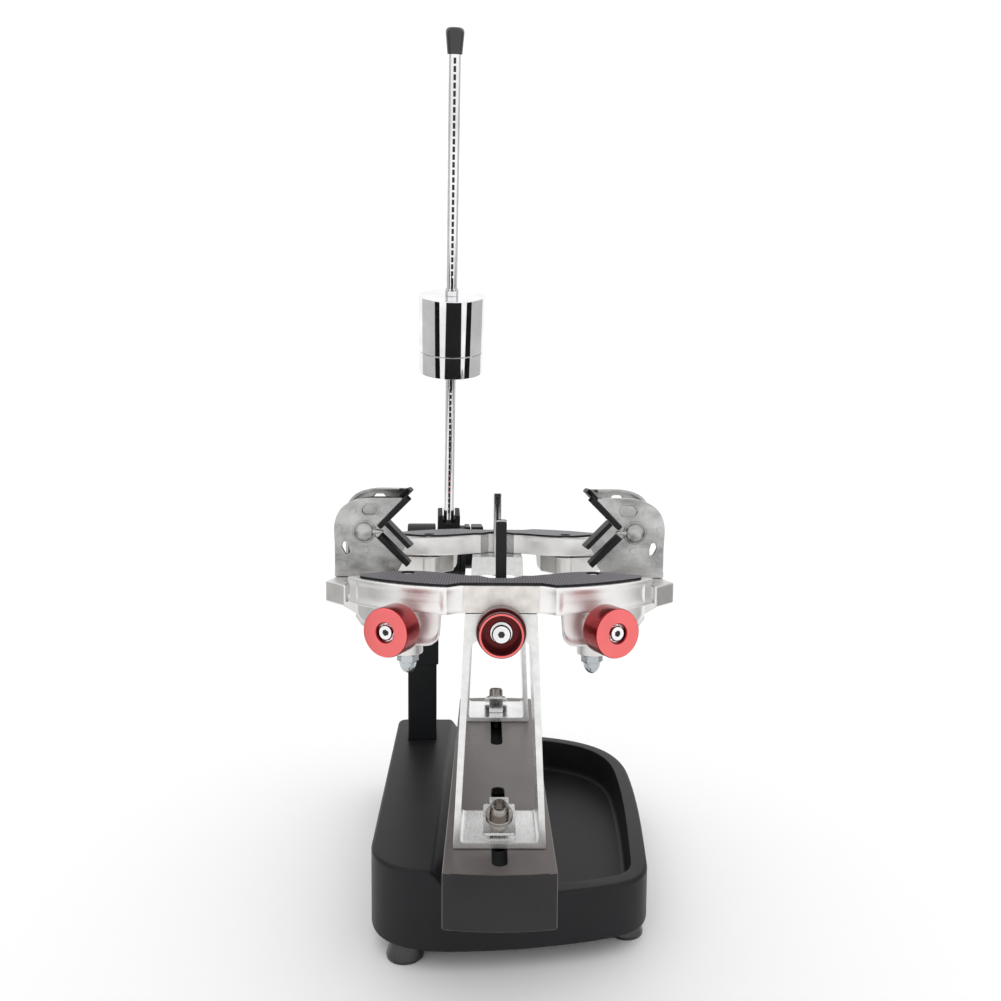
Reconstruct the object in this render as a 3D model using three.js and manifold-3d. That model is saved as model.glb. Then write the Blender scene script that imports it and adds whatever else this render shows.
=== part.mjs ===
// Table-top drop-weight racquet stringing machine with a six-point mounting turntable.
// Millimetres, +Z up, +Y away from the user, origin on the bench under the middle of the machine.
import * as THREE from "three";
import { mergeVertices } from "three/addons/utils/BufferGeometryUtils.js";
import Module from "manifold-3d";

const wasm = await Module();
wasm.setup();

// ---------- driving dimensions ----------
const GAP = 0.3;                       // clearance between neighbouring pieces
const PIVOT = new THREE.Vector3(-5.29, -76.39, 0);   // turntable axis, from the origin

const FOOT = { top: 14, bottom: 19, height: 18.7 };
const BASE = {
  bottom: 19, deck: 74, platform: 99, wall: 4, frontY: -66, rearY: 366, leftX: -138, rightX: 174,
};
const FOLD = { x: -62, run: 18 };      // where the raised platform starts to slope down to the deck
const TRAY = { left: 50, floor: 32, rim: 17 };
const HUB = { radius: 42, neck: 30, neckTop: 122, spindleRadius: 14 };

const CHANNEL = { width: 90, halfLength: 213, bulge: 4, height: 46, wall: 4, top: 179 };
const SLOT = { width: 12.5, inner: 54.5, outer: 203 };
const DISC = { radius: 40 };

const NEAR_TOWER_Y = -146.25;          // tower centres, from the pivot
const FAR_TOWER_Y = 155.4;
const TOWER = { foot: 76, shoulder: 57.8, depth: 59, height: 194.8, wall: 5.5, web: 21.1, inner: 8 };
const HEAD = {
  bottom: 195.1, top: 217.4, front: -29.45, nose: 8.2, back: 6, bulge: 22, blockHalf: 32.5,
  notchHalf: 9.2, notchMouth: 18.5, notchBottom: -5.5, skirt: 6, skirtBottom: 169.4,
  end: [new THREE.Vector2(129.5, 11), new THREE.Vector2(122.3, 1.5)],      // wing end, back then front
  padEnd: [new THREE.Vector2(118.8, 10), new THREE.Vector2(116.5, 1)],
};
const PAD_TOP = 219.7;                 // plane on which the racquet head lies, above the channel

const CLAMP = {
  tilt: THREE.MathUtils.degToRad(25), y: -4, z: 17, bolt: 5, head: 8, headHeight: 10, washer: 11.7,
  sheet: 2.5, tab: 8.2, tabReach: 19,
};
const PIVOT_BOLT = { x: 79, y: 19.5, radius: 4, head: 6, bottom: 133, nutRadius: 9 };

const SCREW_Z = 185.5;                 // height of the side screws above the channel
const SIDE = {
  x: 89.5, y: -56, splay: THREE.MathUtils.degToRad(24.5), radius: 19.5, length: 21, screw: 4, reach: 66,
};
const FORK = { x: 62, y: 2 };          // where a side screw crosses its arm
const CENTRE = { z: 182, y: -30.4, radius: 20, ring: 18, screw: 4, reach: 54 };
const CARRIAGE = { half: 6, y: 5, length: 24, bottom: 175, shoulder: 194.5 };
const SUPPORT = { half: 4.5, depth: 8, top: 266.5, pad: 3.2 };

const ARM = {
  hub: 13, hubBottom: 150, beamBottom: 174, beamTop: 194, raisedBottom: 190, raisedTop: 208,
  bendX: 134, outerX: 153, railInnerX: 136.5, foot: 18, wayHalf: 8.5, wayHeight: 9.6,
  fall: THREE.MathUtils.degToRad(5.7),           // slope of the rail's top, down towards the V plate
};
const OPENED = { near: 0, far: THREE.MathUtils.degToRad(7.3) };   // how far the arms stand open at rest
const VEE = {
  y: 86.3, plate: 4, x: 119.6, z: 246.2, reach: 29.5, top: 277.7, bottom: 203.8, outer: 153.5, flange: 16,
  cornerX: 37.4, cornerZ: 31.3, rim: 3.2, dome: 10.5,
};
const VEE_PAD = { thickness: 5, width: 18, start: 8.3, length: 38.5 };

const TENSION = {
  x: -66, y: 332, z: 350, turn: THREE.MathUtils.degToRad(4.2), lean: THREE.MathUtils.degToRad(20.15),
};
const POST = { width: 38.5, depth: 44, left: -121, frontY: 282.5, top: 306, wall: 2.5 };
const HOUSING = { radius: 39, left: -56, right: -17.7, sleeveBottom: 203.7, sleeveWall: 2.4 };
const DRUM = { radius: 36.2, hub: 24, jawHalf: 20, left: 15.8, right: 51.3 };
const HOLDER = { half: 15, radius: 36, socketTop: 61.3, socketHalfDepth: 13 };
const ROD = { radius: 7, start: 26, end: 640 };
const ROD_CAP = { length: 26, top: 10.4, bottom: 8.2 };
const WEIGHT = {
  radius: 40.8, bore: 7.3, bottom: 259.3, small: 27, main: 66, groove: 1.2, collar: 8.6, collarHeight: 8,
};
const SHAFT_RADIUS = 9;

const QUARTER = Math.PI / 2;
const INWARD = new THREE.Vector3(0, 1, 0);         // from the outer face of a tower to the turntable axis

// ---------- solid tools ----------
// A closed geometry becomes a solid once its shared vertices are merged.
function solid(geometry) {
  const bare = geometry.clone();
  bare.deleteAttribute("normal");
  bare.deleteAttribute("uv");
  const merged = mergeVertices(bare, 1e-4);
  const mesh = new wasm.Mesh({
    numProp: 3,
    vertProperties: Float32Array.from(merged.attributes.position.array),
    triVerts: Uint32Array.from(merged.index.array),
  });
  return new wasm.Manifold(mesh);
}

function geometryOf(manifold) {
  const mesh = manifold.getMesh();
  const geometry = new THREE.BufferGeometry();
  geometry.setAttribute("position", new THREE.BufferAttribute(Float32Array.from(mesh.vertProperties), 3));
  geometry.setIndex(new THREE.BufferAttribute(Uint32Array.from(mesh.triVerts), 1));
  return geometry;
}

function join(first, ...others) {
  return geometryOf(others.reduce((whole, next) => whole.add(solid(next)), solid(first)));
}

function cut(first, ...others) {
  return geometryOf(others.reduce((whole, next) => whole.subtract(solid(next)), solid(first)));
}

function overlap(first, second) {
  return geometryOf(solid(first).intersect(solid(second)));
}

// A box between two corners.
function block(x0, x1, y0, y1, z0, z1) {
  const geometry = new THREE.BoxGeometry(x1 - x0, y1 - y0, z1 - z0);
  return geometry.translate((x0 + x1) / 2, (y0 + y1) / 2, (z0 + z1) / 2);
}

// An outline in X and Y raised from z0 to z1.
function prism(shape, z0, z1, curveSegments = 8) {
  const geometry = new THREE.ExtrudeGeometry(shape, { depth: z1 - z0, bevelEnabled: false, curveSegments });
  return geometry.translate(0, 0, z0);
}

// An outline in X and Z carried along Y from y0 to y1.
function slab(shape, y0, y1, curveSegments = 8) {
  const geometry = new THREE.ExtrudeGeometry(shape, { depth: y1 - y0, bevelEnabled: false, curveSegments });
  return geometry.rotateX(QUARTER).translate(0, y1, 0);
}

// A turned piece about Z, from (radius, height) points that start and end on the axis or close.
function turned(points, segments = 20) {
  const profile = points.map(([radius, height]) => new THREE.Vector2(radius, height));
  if (THREE.ShapeUtils.area(profile) < 0) {
    profile.reverse();
  }
  return new THREE.LatheGeometry(profile, segments).rotateX(QUARTER);
}

function disc(radius, z0, z1, segments = 20) {
  return turned([[0, z0], [radius, z0], [radius, z1], [0, z1]], segments);
}

// A turned piece laid so that its own +Z runs along a direction from a point.
function aimed(geometry, from, direction) {
  const turn = new THREE.Quaternion();
  turn.setFromUnitVectors(new THREE.Vector3(0, 0, 1), direction.clone().normalize());
  return geometry.applyQuaternion(turn).translate(from.x, from.y, from.z);
}

function mirrorX(geometry) {
  const copy = mergeVertices(geometry.clone().deleteAttribute("normal").deleteAttribute("uv"), 1e-4);
  copy.scale(-1, 1, 1);
  const index = Array.from(copy.index.array);
  for (let corner = 0; corner < index.length; corner += 3) {
    [index[corner], index[corner + 1]] = [index[corner + 1], index[corner]];
  }
  copy.setIndex(index);
  return copy;
}

function outline(points) {
  return new THREE.Shape(points.map(([x, y]) => new THREE.Vector2(x, y)));
}

function roundedBox(x0, x1, y0, y1, radius) {
  const shape = new THREE.Shape();
  shape.moveTo(x0 + radius, y0);
  shape.lineTo(x1 - radius, y0);
  shape.absarc(x1 - radius, y0 + radius, radius, -QUARTER, 0);
  shape.lineTo(x1, y1 - radius);
  shape.absarc(x1 - radius, y1 - radius, radius, 0, QUARTER);
  shape.lineTo(x0 + radius, y1);
  shape.absarc(x0 + radius, y1 - radius, radius, QUARTER, Math.PI);
  shape.lineTo(x0, y0 + radius);
  shape.absarc(x0 + radius, y0 + radius, radius, Math.PI, 3 * QUARTER);
  return shape;
}

// ---------- finishes ----------
const finish = {
  plastic: { color: 0x2c2b2d, roughness: 0.55, metalness: 0 },
  rubber: { color: 0x1a1a1a, roughness: 0.8, metalness: 0 },
  blackSteel: { color: 0x161617, roughness: 0.45, metalness: 0.3 },
  channel: { color: 0x6a6260, roughness: 0.4, metalness: 0.8 },
  aluminium: { color: 0xb9b8b4, roughness: 0.4, metalness: 0.9 },
  casting: { color: 0xc9c9cb, roughness: 0.25, metalness: 0.95 },
  zincCast: { color: 0xa3a3a1, roughness: 0.45, metalness: 0.8 },
  zincPlate: { color: 0xd2d3d2, roughness: 0.25, metalness: 0.9 },
  chrome: { color: 0xe6e6e8, roughness: 0.06, metalness: 1 },
  steel: { color: 0xbcbcbd, roughness: 0.25, metalness: 0.95 },
  red: { color: 0xb3141d, roughness: 0.3, metalness: 0.7 },
};

function piece(name, geometry, look) {
  const mesh = new THREE.Mesh(geometry, new THREE.MeshStandardMaterial(finish[look]));
  mesh.name = name;
  return mesh;
}

// ---------- base ----------
// Plan of the base: bowed front, bulging right side, big rear right corner, straight left side.
function basePlan() {
  const shape = new THREE.Shape();
  shape.moveTo(-128, 0);
  shape.bezierCurveTo(-128, -38, -104, BASE.frontY, -45, BASE.frontY);
  shape.bezierCurveTo(15, BASE.frontY, 80, -54, 118, -42);
  shape.bezierCurveTo(144, -33, 154, -20, 157, 6);
  shape.bezierCurveTo(164, 70, BASE.rightX, 150, BASE.rightX, 232);
  shape.bezierCurveTo(BASE.rightX, 318, 128, 350, 62, BASE.rearY);
  shape.lineTo(-124, BASE.rearY);
  shape.quadraticCurveTo(BASE.leftX, BASE.rearY, BASE.leftX, 352);
  shape.lineTo(-128, 0);
  return shape;
}

// The plan drawn in by a distance, about the middle of the base.
function insetPlan(distance) {
  const middle = new THREE.Vector2((BASE.leftX + BASE.rightX) / 2, (BASE.frontY + BASE.rearY) / 2);
  const scaleX = 1 - (2 * distance) / (BASE.rightX - BASE.leftX);
  const scaleY = 1 - (2 * distance) / (BASE.rearY - BASE.frontY);
  const points = basePlan().getPoints(8).map((point) => new THREE.Vector2(
    middle.x + (point.x - middle.x) * scaleX,
    middle.y + (point.y - middle.y) * scaleY,
  ));
  return new THREE.Shape(points);
}

function baseShell() {
  const { bottom, deck, platform, wall } = BASE;
  const body = prism(basePlan(), bottom, platform);
  const aboveDeck = slab(outline([
    [FOLD.x, platform + 1], [FOLD.x, platform], [FOLD.x + FOLD.run, deck], [200, deck], [200, platform + 1],
  ]), -100, 400);
  const leftOfTray = block(-200, TRAY.left + wall, -100, 400, 0, platform);
  const trayWall = TRAY.left - wall;
  const besideTray = cut(
    prism(insetPlan(wall), bottom - 1, deck - wall),
    block(trayWall, 200, -100, 400, 0, 200),
  );
  const underTray = overlap(
    prism(insetPlan(wall), bottom - 1, TRAY.floor - wall),
    block(trayWall - 1, 200, -100, 400, 0, 200),
  );
  const pocket = cut(prism(insetPlan(TRAY.rim), TRAY.floor, platform), leftOfTray);
  const hubColumn = disc(HUB.neck, bottom, deck - wall / 2);
  return join(cut(body, aboveDeck, besideTray, underTray, pocket), hubColumn);
}

function addBase(root) {
  root.add(piece("base_shell", baseShell(), "plastic"));
  const plate = cut(prism(insetPlan(BASE.wall + 1), BASE.bottom, BASE.bottom + 2), disc(HUB.neck + 1, 0, 60));
  root.add(piece("base_plate", plate, "blackSteel"));
  const feet = {
    foot_front_left: [-90.3, -37.5],
    foot_front_right: [134, 2],
    foot_rear_left: [-112, 336],
    foot_rear_right: [112, 312],
  };
  for (const [name, [x, y]] of Object.entries(feet)) {
    const foot = turned([
      [0, 0], [FOOT.bottom - 1.5, 0], [FOOT.bottom, 1.5], [FOOT.top, FOOT.height], [0, FOOT.height],
    ]);
    root.add(piece(name, foot.translate(x, y, 0), "rubber"));
  }
  const channelBottom = CHANNEL.top - CHANNEL.height;
  const spindle = turned([
    [0, BASE.deck + GAP], [HUB.radius, BASE.deck + GAP],
    [HUB.radius, BASE.deck + 10], [HUB.neck, BASE.deck + 22],
    [HUB.neck, HUB.neckTop], [HUB.spindleRadius, HUB.neckTop],
    [HUB.spindleRadius, channelBottom + 20], [0, channelBottom + 20],
  ], 24);
  root.add(piece("spindle", spindle, "blackSteel"));
}

// ---------- turntable channel ----------
function channelPlan(halfWidth, halfLength, bulge) {
  const shape = new THREE.Shape();
  shape.moveTo(-halfWidth, -halfLength);
  shape.quadraticCurveTo(0, -halfLength - 2 * bulge, halfWidth, -halfLength);
  shape.lineTo(halfWidth, halfLength);
  shape.quadraticCurveTo(0, halfLength + 2 * bulge, -halfWidth, halfLength);
  shape.lineTo(-halfWidth, -halfLength);
  return shape;
}

function addTurntable(table) {
  const { width, halfLength, bulge, height, wall, top } = CHANNEL;
  const bottom = top - height;
  const body = prism(channelPlan(width / 2, halfLength, bulge), bottom, top);
  const hollow = prism(channelPlan(width / 2 - wall, halfLength - wall, bulge), bottom - 1, top - wall);
  const slots = [-1, 1].map((side) => {
    const [y0, y1] = [side * SLOT.inner, side * SLOT.outer].sort((a, b) => a - b);
    const radius = SLOT.width / 2;
    return prism(roundedBox(-radius, radius, y0, y1, radius), top - wall - 1, top + 1, 4);
  });
  table.add(piece("channel", cut(body, hollow, ...slots), "channel"));
  const discTop = bottom + 16;
  const bearing = turned([
    [HUB.spindleRadius + GAP, HUB.neckTop + GAP], [DISC.radius, HUB.neckTop + GAP],
    [DISC.radius, discTop], [HUB.spindleRadius + GAP, discTop], [HUB.spindleRadius + GAP, HUB.neckTop + GAP],
  ], 24);
  table.add(piece("turntable_disc", bearing, "aluminium"));
}

// ---------- towers ----------
// A tower is drawn for the near side: outward is -Y, and z is 0 on top of the channel.
function towerFrame() {
  const { foot, shoulder, depth, height, wall, web, inner } = TOWER;
  const slope = (foot - shoulder) / 2 / height;
  const face = outline([
    [-foot / 2, GAP], [foot / 2, GAP], [shoulder / 2, height], [-shoulder / 2, height],
  ]);
  const ceiling = height - web;
  const window = new THREE.Shape();
  const lowHalf = foot / 2 - wall;
  const highHalf = foot / 2 - slope * ceiling - wall;
  window.moveTo(-lowHalf, wall);
  window.lineTo(lowHalf, wall);
  window.lineTo(highHalf, ceiling - inner);
  window.quadraticCurveTo(highHalf, ceiling, highHalf - inner, ceiling);
  window.lineTo(-highHalf + inner, ceiling);
  window.quadraticCurveTo(-highHalf, ceiling, -highHalf, ceiling - inner);
  window.lineTo(-lowHalf, wall);
  const half = depth / 2;
  const boltHole = prism(roundedBox(-6, 6, -9, 14, 6), -1, wall + 1, 4);
  const bore = disc(CENTRE.screw + GAP, 0, 40, 12);
  const screwHole = aimed(bore, new THREE.Vector3(0, -half - 5, CENTRE.z), INWARD);
  const guideHalf = CARRIAGE.half + GAP;
  const guide = block(-guideHalf, guideHalf, -half + 9, half + 1, ceiling - 1, height + 1);
  return cut(slab(face, -half, half), slab(window, -half - 1, half + 1), boltHole, screwHole, guide);
}

// Plan of the head that carries the racquet: a flat front block, two swept wings and a notch at the back.
// The end points close each wing between its back and its front.
function headPlan(inset, frontLip, [endBack, endFront]) {
  const { notchHalf, notchMouth, notchBottom, blockHalf, front, nose, back, bulge } = HEAD;
  const rear = back - inset;
  const fore = front + inset + frontLip;
  const half = new THREE.Path();
  half.moveTo(notchHalf + inset, notchBottom - inset);
  half.lineTo(notchMouth + inset, rear);
  half.lineTo(blockHalf - 6, rear);
  half.bezierCurveTo(
    blockHalf + 15, rear + bulge / 2, PIVOT_BOLT.x - 19, rear + bulge, PIVOT_BOLT.x, rear + bulge,
  );
  half.bezierCurveTo(
    PIVOT_BOLT.x + 14, rear + bulge, endBack.x - 16, endBack.y + 8, endBack.x - inset, endBack.y,
  );
  half.lineTo(endFront.x - inset, endFront.y + inset);
  half.bezierCurveTo(endFront.x - 22, fore + 10, endFront.x - 52, fore - 5, blockHalf + 10.5, fore - nose);
  half.lineTo(blockHalf, fore);
  const right = half.getPoints(6);
  const left = right.map((point) => new THREE.Vector2(-point.x, point.y)).reverse();
  return new THREE.Shape([...right, ...left]);
}

// Point at a distance from a side knob's face along its screw, on one side of the tower.
function screwPoint(side, distance) {
  return new THREE.Vector3(
    side * (SIDE.x - Math.sin(SIDE.splay) * distance),
    SIDE.y + Math.cos(SIDE.splay) * distance,
    SCREW_Z,
  );
}

function screwDirection(side) {
  return new THREE.Vector3(-side * Math.sin(SIDE.splay), Math.cos(SIDE.splay), 0);
}

// Wall under the front edge of one wing, deepest round the side screw and running out at the tip.
function wingSkirt(side) {
  const { bottom, skirt, skirtBottom } = HEAD;
  const top = bottom + 1;
  const casting = headPlan(1, 0, HEAD.end);
  const plan = prism(casting, skirtBottom - 1, top);
  const behind = prism(casting, skirtBottom - 2, top + 1).translate(0, skirt, 0);
  const reach = outline([
    [48, top], [48, 180], [50, 174], [54, 170.5], [60, skirtBottom], [88, skirtBottom], [115, 178.8],
    [130, 195], [130, top],
  ].map(([x, z]) => [side * x, z]));
  return overlap(cut(plan, behind), slab(reach, -60, 4));
}

function towerHead() {
  const plate = prism(headPlan(1, 0, HEAD.end), HEAD.bottom, HEAD.top);
  const bosses = [-1, 1].map((side) => {
    const barrel = aimed(disc(11, 0, 17, 16), screwPoint(side, SIDE.length + 6), screwDirection(side));
    return overlap(barrel, block(-150, 150, -60, 60, 150, HEAD.bottom + 2));
  });
  const skirts = [-1, 1].map((side) => wingSkirt(side));
  const bores = [-1, 1].map((side) => (
    aimed(disc(SIDE.screw + GAP, -10, 60, 12), screwPoint(side, SIDE.length), screwDirection(side))
  ));
  const pins = [-1, 1].map((side) => join(
    disc(PIVOT_BOLT.radius + GAP, HEAD.bottom - 1, HEAD.top + 1, 12),
    disc(PIVOT_BOLT.head + GAP, HEAD.top - 6, HEAD.top + 2, 14),
  ).translate(side * PIVOT_BOLT.x, PIVOT_BOLT.y, 0));
  return cut(join(plate, ...bosses, ...skirts), ...bores, ...pins);
}

function topPad() {
  const holes = [-1, 1].map((side) => disc(PIVOT_BOLT.head + GAP, HEAD.top, PAD_TOP + 1, 14)
    .translate(side * PIVOT_BOLT.x, PIVOT_BOLT.y, 0));
  return cut(prism(headPlan(0, 2, HEAD.padEnd), HEAD.top + GAP, PAD_TOP), ...holes);
}

function clampFrame() {
  const origin = new THREE.Vector3(0, CLAMP.y, CLAMP.z);
  const axis = new THREE.Vector3(0, -Math.sin(CLAMP.tilt), Math.cos(CLAMP.tilt));
  return { origin, axis };
}

// Sheet bracket: a tilted top that the bolt presses on, and a tab down to the tower's foot.
function clampBracket() {
  const { tilt, y, z, bolt, sheet, tab, tabReach } = CLAMP;
  const lid = block(-13.5, 13.5, -tabReach, 12, -sheet, 0);
  const neck = block(-tab, tab, 8, tabReach, -sheet, 0);
  const tilted = join(lid, neck).rotateX(tilt).translate(0, y, z);
  const tabY = y + tabReach * Math.cos(tilt);
  const tabTop = z + tabReach * Math.sin(tilt) - 1;
  const down = block(-tab, tab, tabY - sheet, tabY, TOWER.wall + GAP, tabTop);
  const { origin, axis } = clampFrame();
  const hole = aimed(disc(bolt + GAP, -12, 6, 14), origin, axis);
  const above = block(-20, 20, -40, 40, TOWER.wall + GAP, 60);
  return overlap(cut(join(tilted, down), hole), above);
}

function clampBolt() {
  const { bolt, head, headHeight, washer } = CLAMP;
  const socket = 4;
  const nutTop = -27;
  const profile = turned([
    [0, GAP + 2 + headHeight - 5], [socket, GAP + 2 + headHeight - 5], [socket, GAP + 2 + headHeight],
    [head, GAP + 2 + headHeight], [head, GAP + 2], [washer, GAP + 2], [washer, GAP], [bolt, GAP],
    [bolt, nutTop], [9, nutTop], [9, nutTop - 8], [0, nutTop - 8],
  ], 16);
  const { origin, axis } = clampFrame();
  return aimed(profile, origin, axis);
}

// Arm pin: button head in the pad, plain shank, acorn nut under the arm.
function pivotBolt() {
  const { radius, head, bottom, nutRadius } = PIVOT_BOLT;
  const seat = HEAD.top - 6 + GAP;
  return turned([
    [0, bottom], [5, bottom + 1.4], [8, bottom + 5.5], [nutRadius, bottom + 10], [nutRadius, bottom + 16.5],
    [radius, bottom + 16.5], [radius, seat],
    [head, seat], [head, seat + 2.5], [head - 2, seat + 4], [0, seat + 4],
  ], 14);
}

// Side knob, red and turned with a counterbored cap screw, fused to its black lead screw.
function sideKnob() {
  const { radius, length, screw, reach } = SIDE;
  return turned([
    [0, -reach], [screw, -reach], [screw, -length - 3], [10, -length - 3], [10, -length], [radius, -length],
    [radius, -1.5], [radius - 1.5, 0], [8.8, 0], [8.8, -5], [6.5, -5], [6.5, -1], [0, -1],
  ], 20);
}

// Centre knob: knurled rear, smaller hollow front ring, cap screw in the cup.
function centreKnob() {
  const { radius, ring, screw, reach } = CENTRE;
  const profile = turned([
    [0, -reach], [screw, -reach], [screw, 0], [radius, 0], [radius, 10],
    [ring, 10], [ring, 20], [ring - 3, 20],
    [ring - 3, 8], [8, 8], [8, 16], [0, 16],
  ], 20);
  return aimed(profile, new THREE.Vector3(0, CENTRE.y, CENTRE.z), INWARD.clone().negate());
}

// Steel carriage in the tower's web with the upright that bears on the racquet head.
function centrePost() {
  const { half, y, length, bottom, shoulder } = CARRIAGE;
  const carriage = block(-half, half, y - length / 2, y + length / 2, bottom, shoulder);
  const front = y - SUPPORT.depth / 2;
  const upright = block(-SUPPORT.half, SUPPORT.half, front, front + SUPPORT.depth, shoulder - 1, SUPPORT.top);
  const thread = aimed(disc(CENTRE.screw + GAP, 0, 80, 12), new THREE.Vector3(0, -40, CENTRE.z), INWARD);
  return cut(join(carriage, upright), thread);
}

function supportPad() {
  const front = CARRIAGE.y - SUPPORT.depth / 2 - GAP;
  const plan = roundedBox(-SUPPORT.half, SUPPORT.half, front - SUPPORT.pad, front, 1.4);
  return prism(plan, HEAD.top - 2, SUPPORT.top - 1, 4);
}

// ---------- side arms ----------
// Drawn for the right side (+X) of the near tower, with the V's square to the tower. The beam runs out under
// the head, rises past the wing's tip and turns back as a rail whose foot carries the V plate.
function sideArm() {
  const { hub, hubBottom, beamBottom, beamTop, raisedBottom, raisedTop, bendX, outerX, railInnerX } = ARM;
  const { x, y } = PIVOT_BOLT;
  const boss = disc(hub, hubBottom, beamTop, 16).translate(x, y, 0);
  const lever = prism(outline([
    [FORK.x - 10, FORK.y - 5], [FORK.x + 6, FORK.y - 10], [x + 12, y - 6], [x - 7, y + 11],
  ]), beamBottom, beamTop);
  const bend = [[bendX - 2.5, y + 0.5], [bendX, y + 1], [outerX, y + 21.5]];
  const beamPlan = outline([
    [x - 3, y - 11], ...bend, [outerX, y + 30], [railInnerX, y + 30], [x + 4, y + 12],
  ]);
  const beamSide = outline([
    [x - 20, beamBottom], [x + 25, beamBottom], [bendX, raisedBottom], [outerX, raisedBottom],
    [outerX, beamTop], [x - 20, beamTop],
  ]);
  const beam = overlap(prism(beamPlan, beamBottom, beamTop), slab(beamSide, 0, VEE.y));
  const back = VEE.y + VEE.flange;
  const railPlan = outline([
    ...bend, [outerX, back], [railInnerX, back], [railInnerX, y + 24], [bendX - 2.5, y + 14],
  ]);
  const shavings = block(x, outerX + 10, 0, back, 0, 20).rotateX(-ARM.fall).translate(0, y + 21.5, raisedTop);
  const seat = block(x, outerX + 10, VEE.y - 4, back + 1, VEE.bottom - GAP, raisedTop + 1);
  const rail = cut(prism(railPlan, raisedBottom, raisedTop), shavings, seat);
  const foot = block(railInnerX - ARM.foot, outerX, VEE.y - 3, back, VEE.bottom - 8, VEE.bottom - GAP);
  const bore = disc(PIVOT_BOLT.radius + GAP, hubBottom - 1, beamTop + 1, 16).translate(x, y, 0);
  const half = ARM.wayHeight / 2;
  const screwWay = block(-ARM.wayHalf, ARM.wayHalf, -45, 45, SCREW_Z - half, SCREW_Z + half)
    .rotateZ(SIDE.splay).translate(FORK.x + 1, FORK.y - 2, 0);
  return cut(join(boss, lever, beam, rail, foot), bore, screwWay);
}

// Die-cast plate with a right-angled V open towards the racquet, and a flange round its outer side.
function veePlate() {
  const { x, z, reach, top, bottom, outer, plate, flange, y, cornerX, cornerZ, rim, dome } = VEE;
  const shape = new THREE.Shape();
  shape.moveTo(x, z);
  shape.lineTo(x - reach, z - reach);
  shape.lineTo(x - reach + 5, bottom + 4);
  shape.lineTo(x - reach + 9, bottom);
  shape.lineTo(outer, bottom);
  shape.lineTo(outer, top - cornerZ);
  shape.quadraticCurveTo(outer, top, outer - cornerX, top);
  shape.lineTo(x - reach, top);
  shape.lineTo(x - reach, z + reach);
  shape.lineTo(x, z);
  const inside = new THREE.Shape();
  inside.moveTo(x - reach - 5, bottom - 5);
  inside.lineTo(outer - rim, bottom - 5);
  inside.lineTo(outer - rim, top - cornerZ);
  inside.quadraticCurveTo(outer - rim, top - rim, outer - cornerX, top - rim);
  inside.lineTo(x - reach - 5, top - rim);
  inside.lineTo(x - reach - 5, bottom - 5);
  const body = slab(shape, y, y + flange, 6);
  const bay = slab(inside, y + plate, y + flange + 1, 6);
  const keyHole = slab(roundedBox(x + 20, x + 26, z - 21.5, z - 9.5, 2.9), y - 1, y + plate + 1, 3);
  const topHole = slab(roundedBox(x - 8, x + 8, z + 16, z + 25, 3.4), y - 1, y + plate + 1, 3);
  const bulge = turned([[0, -0.5], [dome, -0.5], [dome * 0.82, 3.5], [dome / 2, 5.8], [0, 6.8]], 14);
  const boss = aimed(bulge, new THREE.Vector3(x + dome / 2 + 0.6, y, z), INWARD.clone().negate());
  return join(cut(body, bay, keyHole, topHole), boss);
}

// A rubber strip along one flank of the V; up is +1 for the upper flank, -1 for the lower one.
function veePad(up) {
  const { thickness, width, start, length } = VEE_PAD;
  const along = new THREE.Vector2(-Math.SQRT1_2, up * Math.SQRT1_2);
  const across = new THREE.Vector2(-Math.SQRT1_2, -up * Math.SQRT1_2);
  const end = start + length;
  const inner = GAP + thickness;
  const corners = [[start, GAP], [end, GAP], [end, inner], [start, inner]];
  const points = corners.map(([s, t]) => new THREE.Vector2(
    VEE.x + along.x * s + across.x * t,
    VEE.z + along.y * s + across.y * t,
  ));
  return slab(new THREE.Shape(points), VEE.y - 3, VEE.y - 3 + width);
}

// One tower with everything that rides on it; turned half round for the far end.
function addTower(table, end, centreY, turn) {
  const tower = new THREE.Group();
  tower.position.set(0, centreY, CHANNEL.top);
  tower.rotation.z = turn;
  table.add(tower);
  tower.add(piece(`${end}_tower_frame`, towerFrame(), "aluminium"));
  tower.add(piece(`${end}_tower_head`, towerHead(), "casting"));
  tower.add(piece(`${end}_top_pad`, topPad(), "rubber"));
  tower.add(piece(`${end}_clamp_bracket`, clampBracket(), "zincPlate"));
  tower.add(piece(`${end}_clamp_bolt`, clampBolt(), "zincPlate"));
  tower.add(piece(`${end}_centre_post`, centrePost(), "steel"));
  tower.add(piece(`${end}_support_pad`, supportPad(), "rubber"));
  tower.add(piece(`${end}_centre_knob`, centreKnob(), "red"));
  for (const side of [1, -1]) {
    const hand = (side > 0) === (turn === 0) ? "right" : "left";
    const placed = (geometry) => (side > 0 ? geometry : mirrorX(geometry));
    const swung = (geometry) => placed(geometry.translate(-PIVOT_BOLT.x, -PIVOT_BOLT.y, 0)
      .rotateZ(-OPENED[end]).translate(PIVOT_BOLT.x, PIVOT_BOLT.y, 0));
    const name = `${end}_${hand}`;
    const pin = pivotBolt().translate(side * PIVOT_BOLT.x, PIVOT_BOLT.y, 0);
    const knob = aimed(sideKnob(), screwPoint(side, 0), screwDirection(side).negate());
    tower.add(piece(`${name}_pivot_bolt`, pin, "chrome"));
    tower.add(piece(`${name}_arm`, swung(sideArm()), "zincCast"));
    tower.add(piece(`${name}_vee_plate`, swung(veePlate()), "zincCast"));
    tower.add(piece(`${name}_upper_pad`, swung(veePad(1)), "rubber"));
    tower.add(piece(`${name}_lower_pad`, swung(veePad(-1)), "rubber"));
    tower.add(piece(`${name}_knob`, knob, "red"));
  }
}

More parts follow.
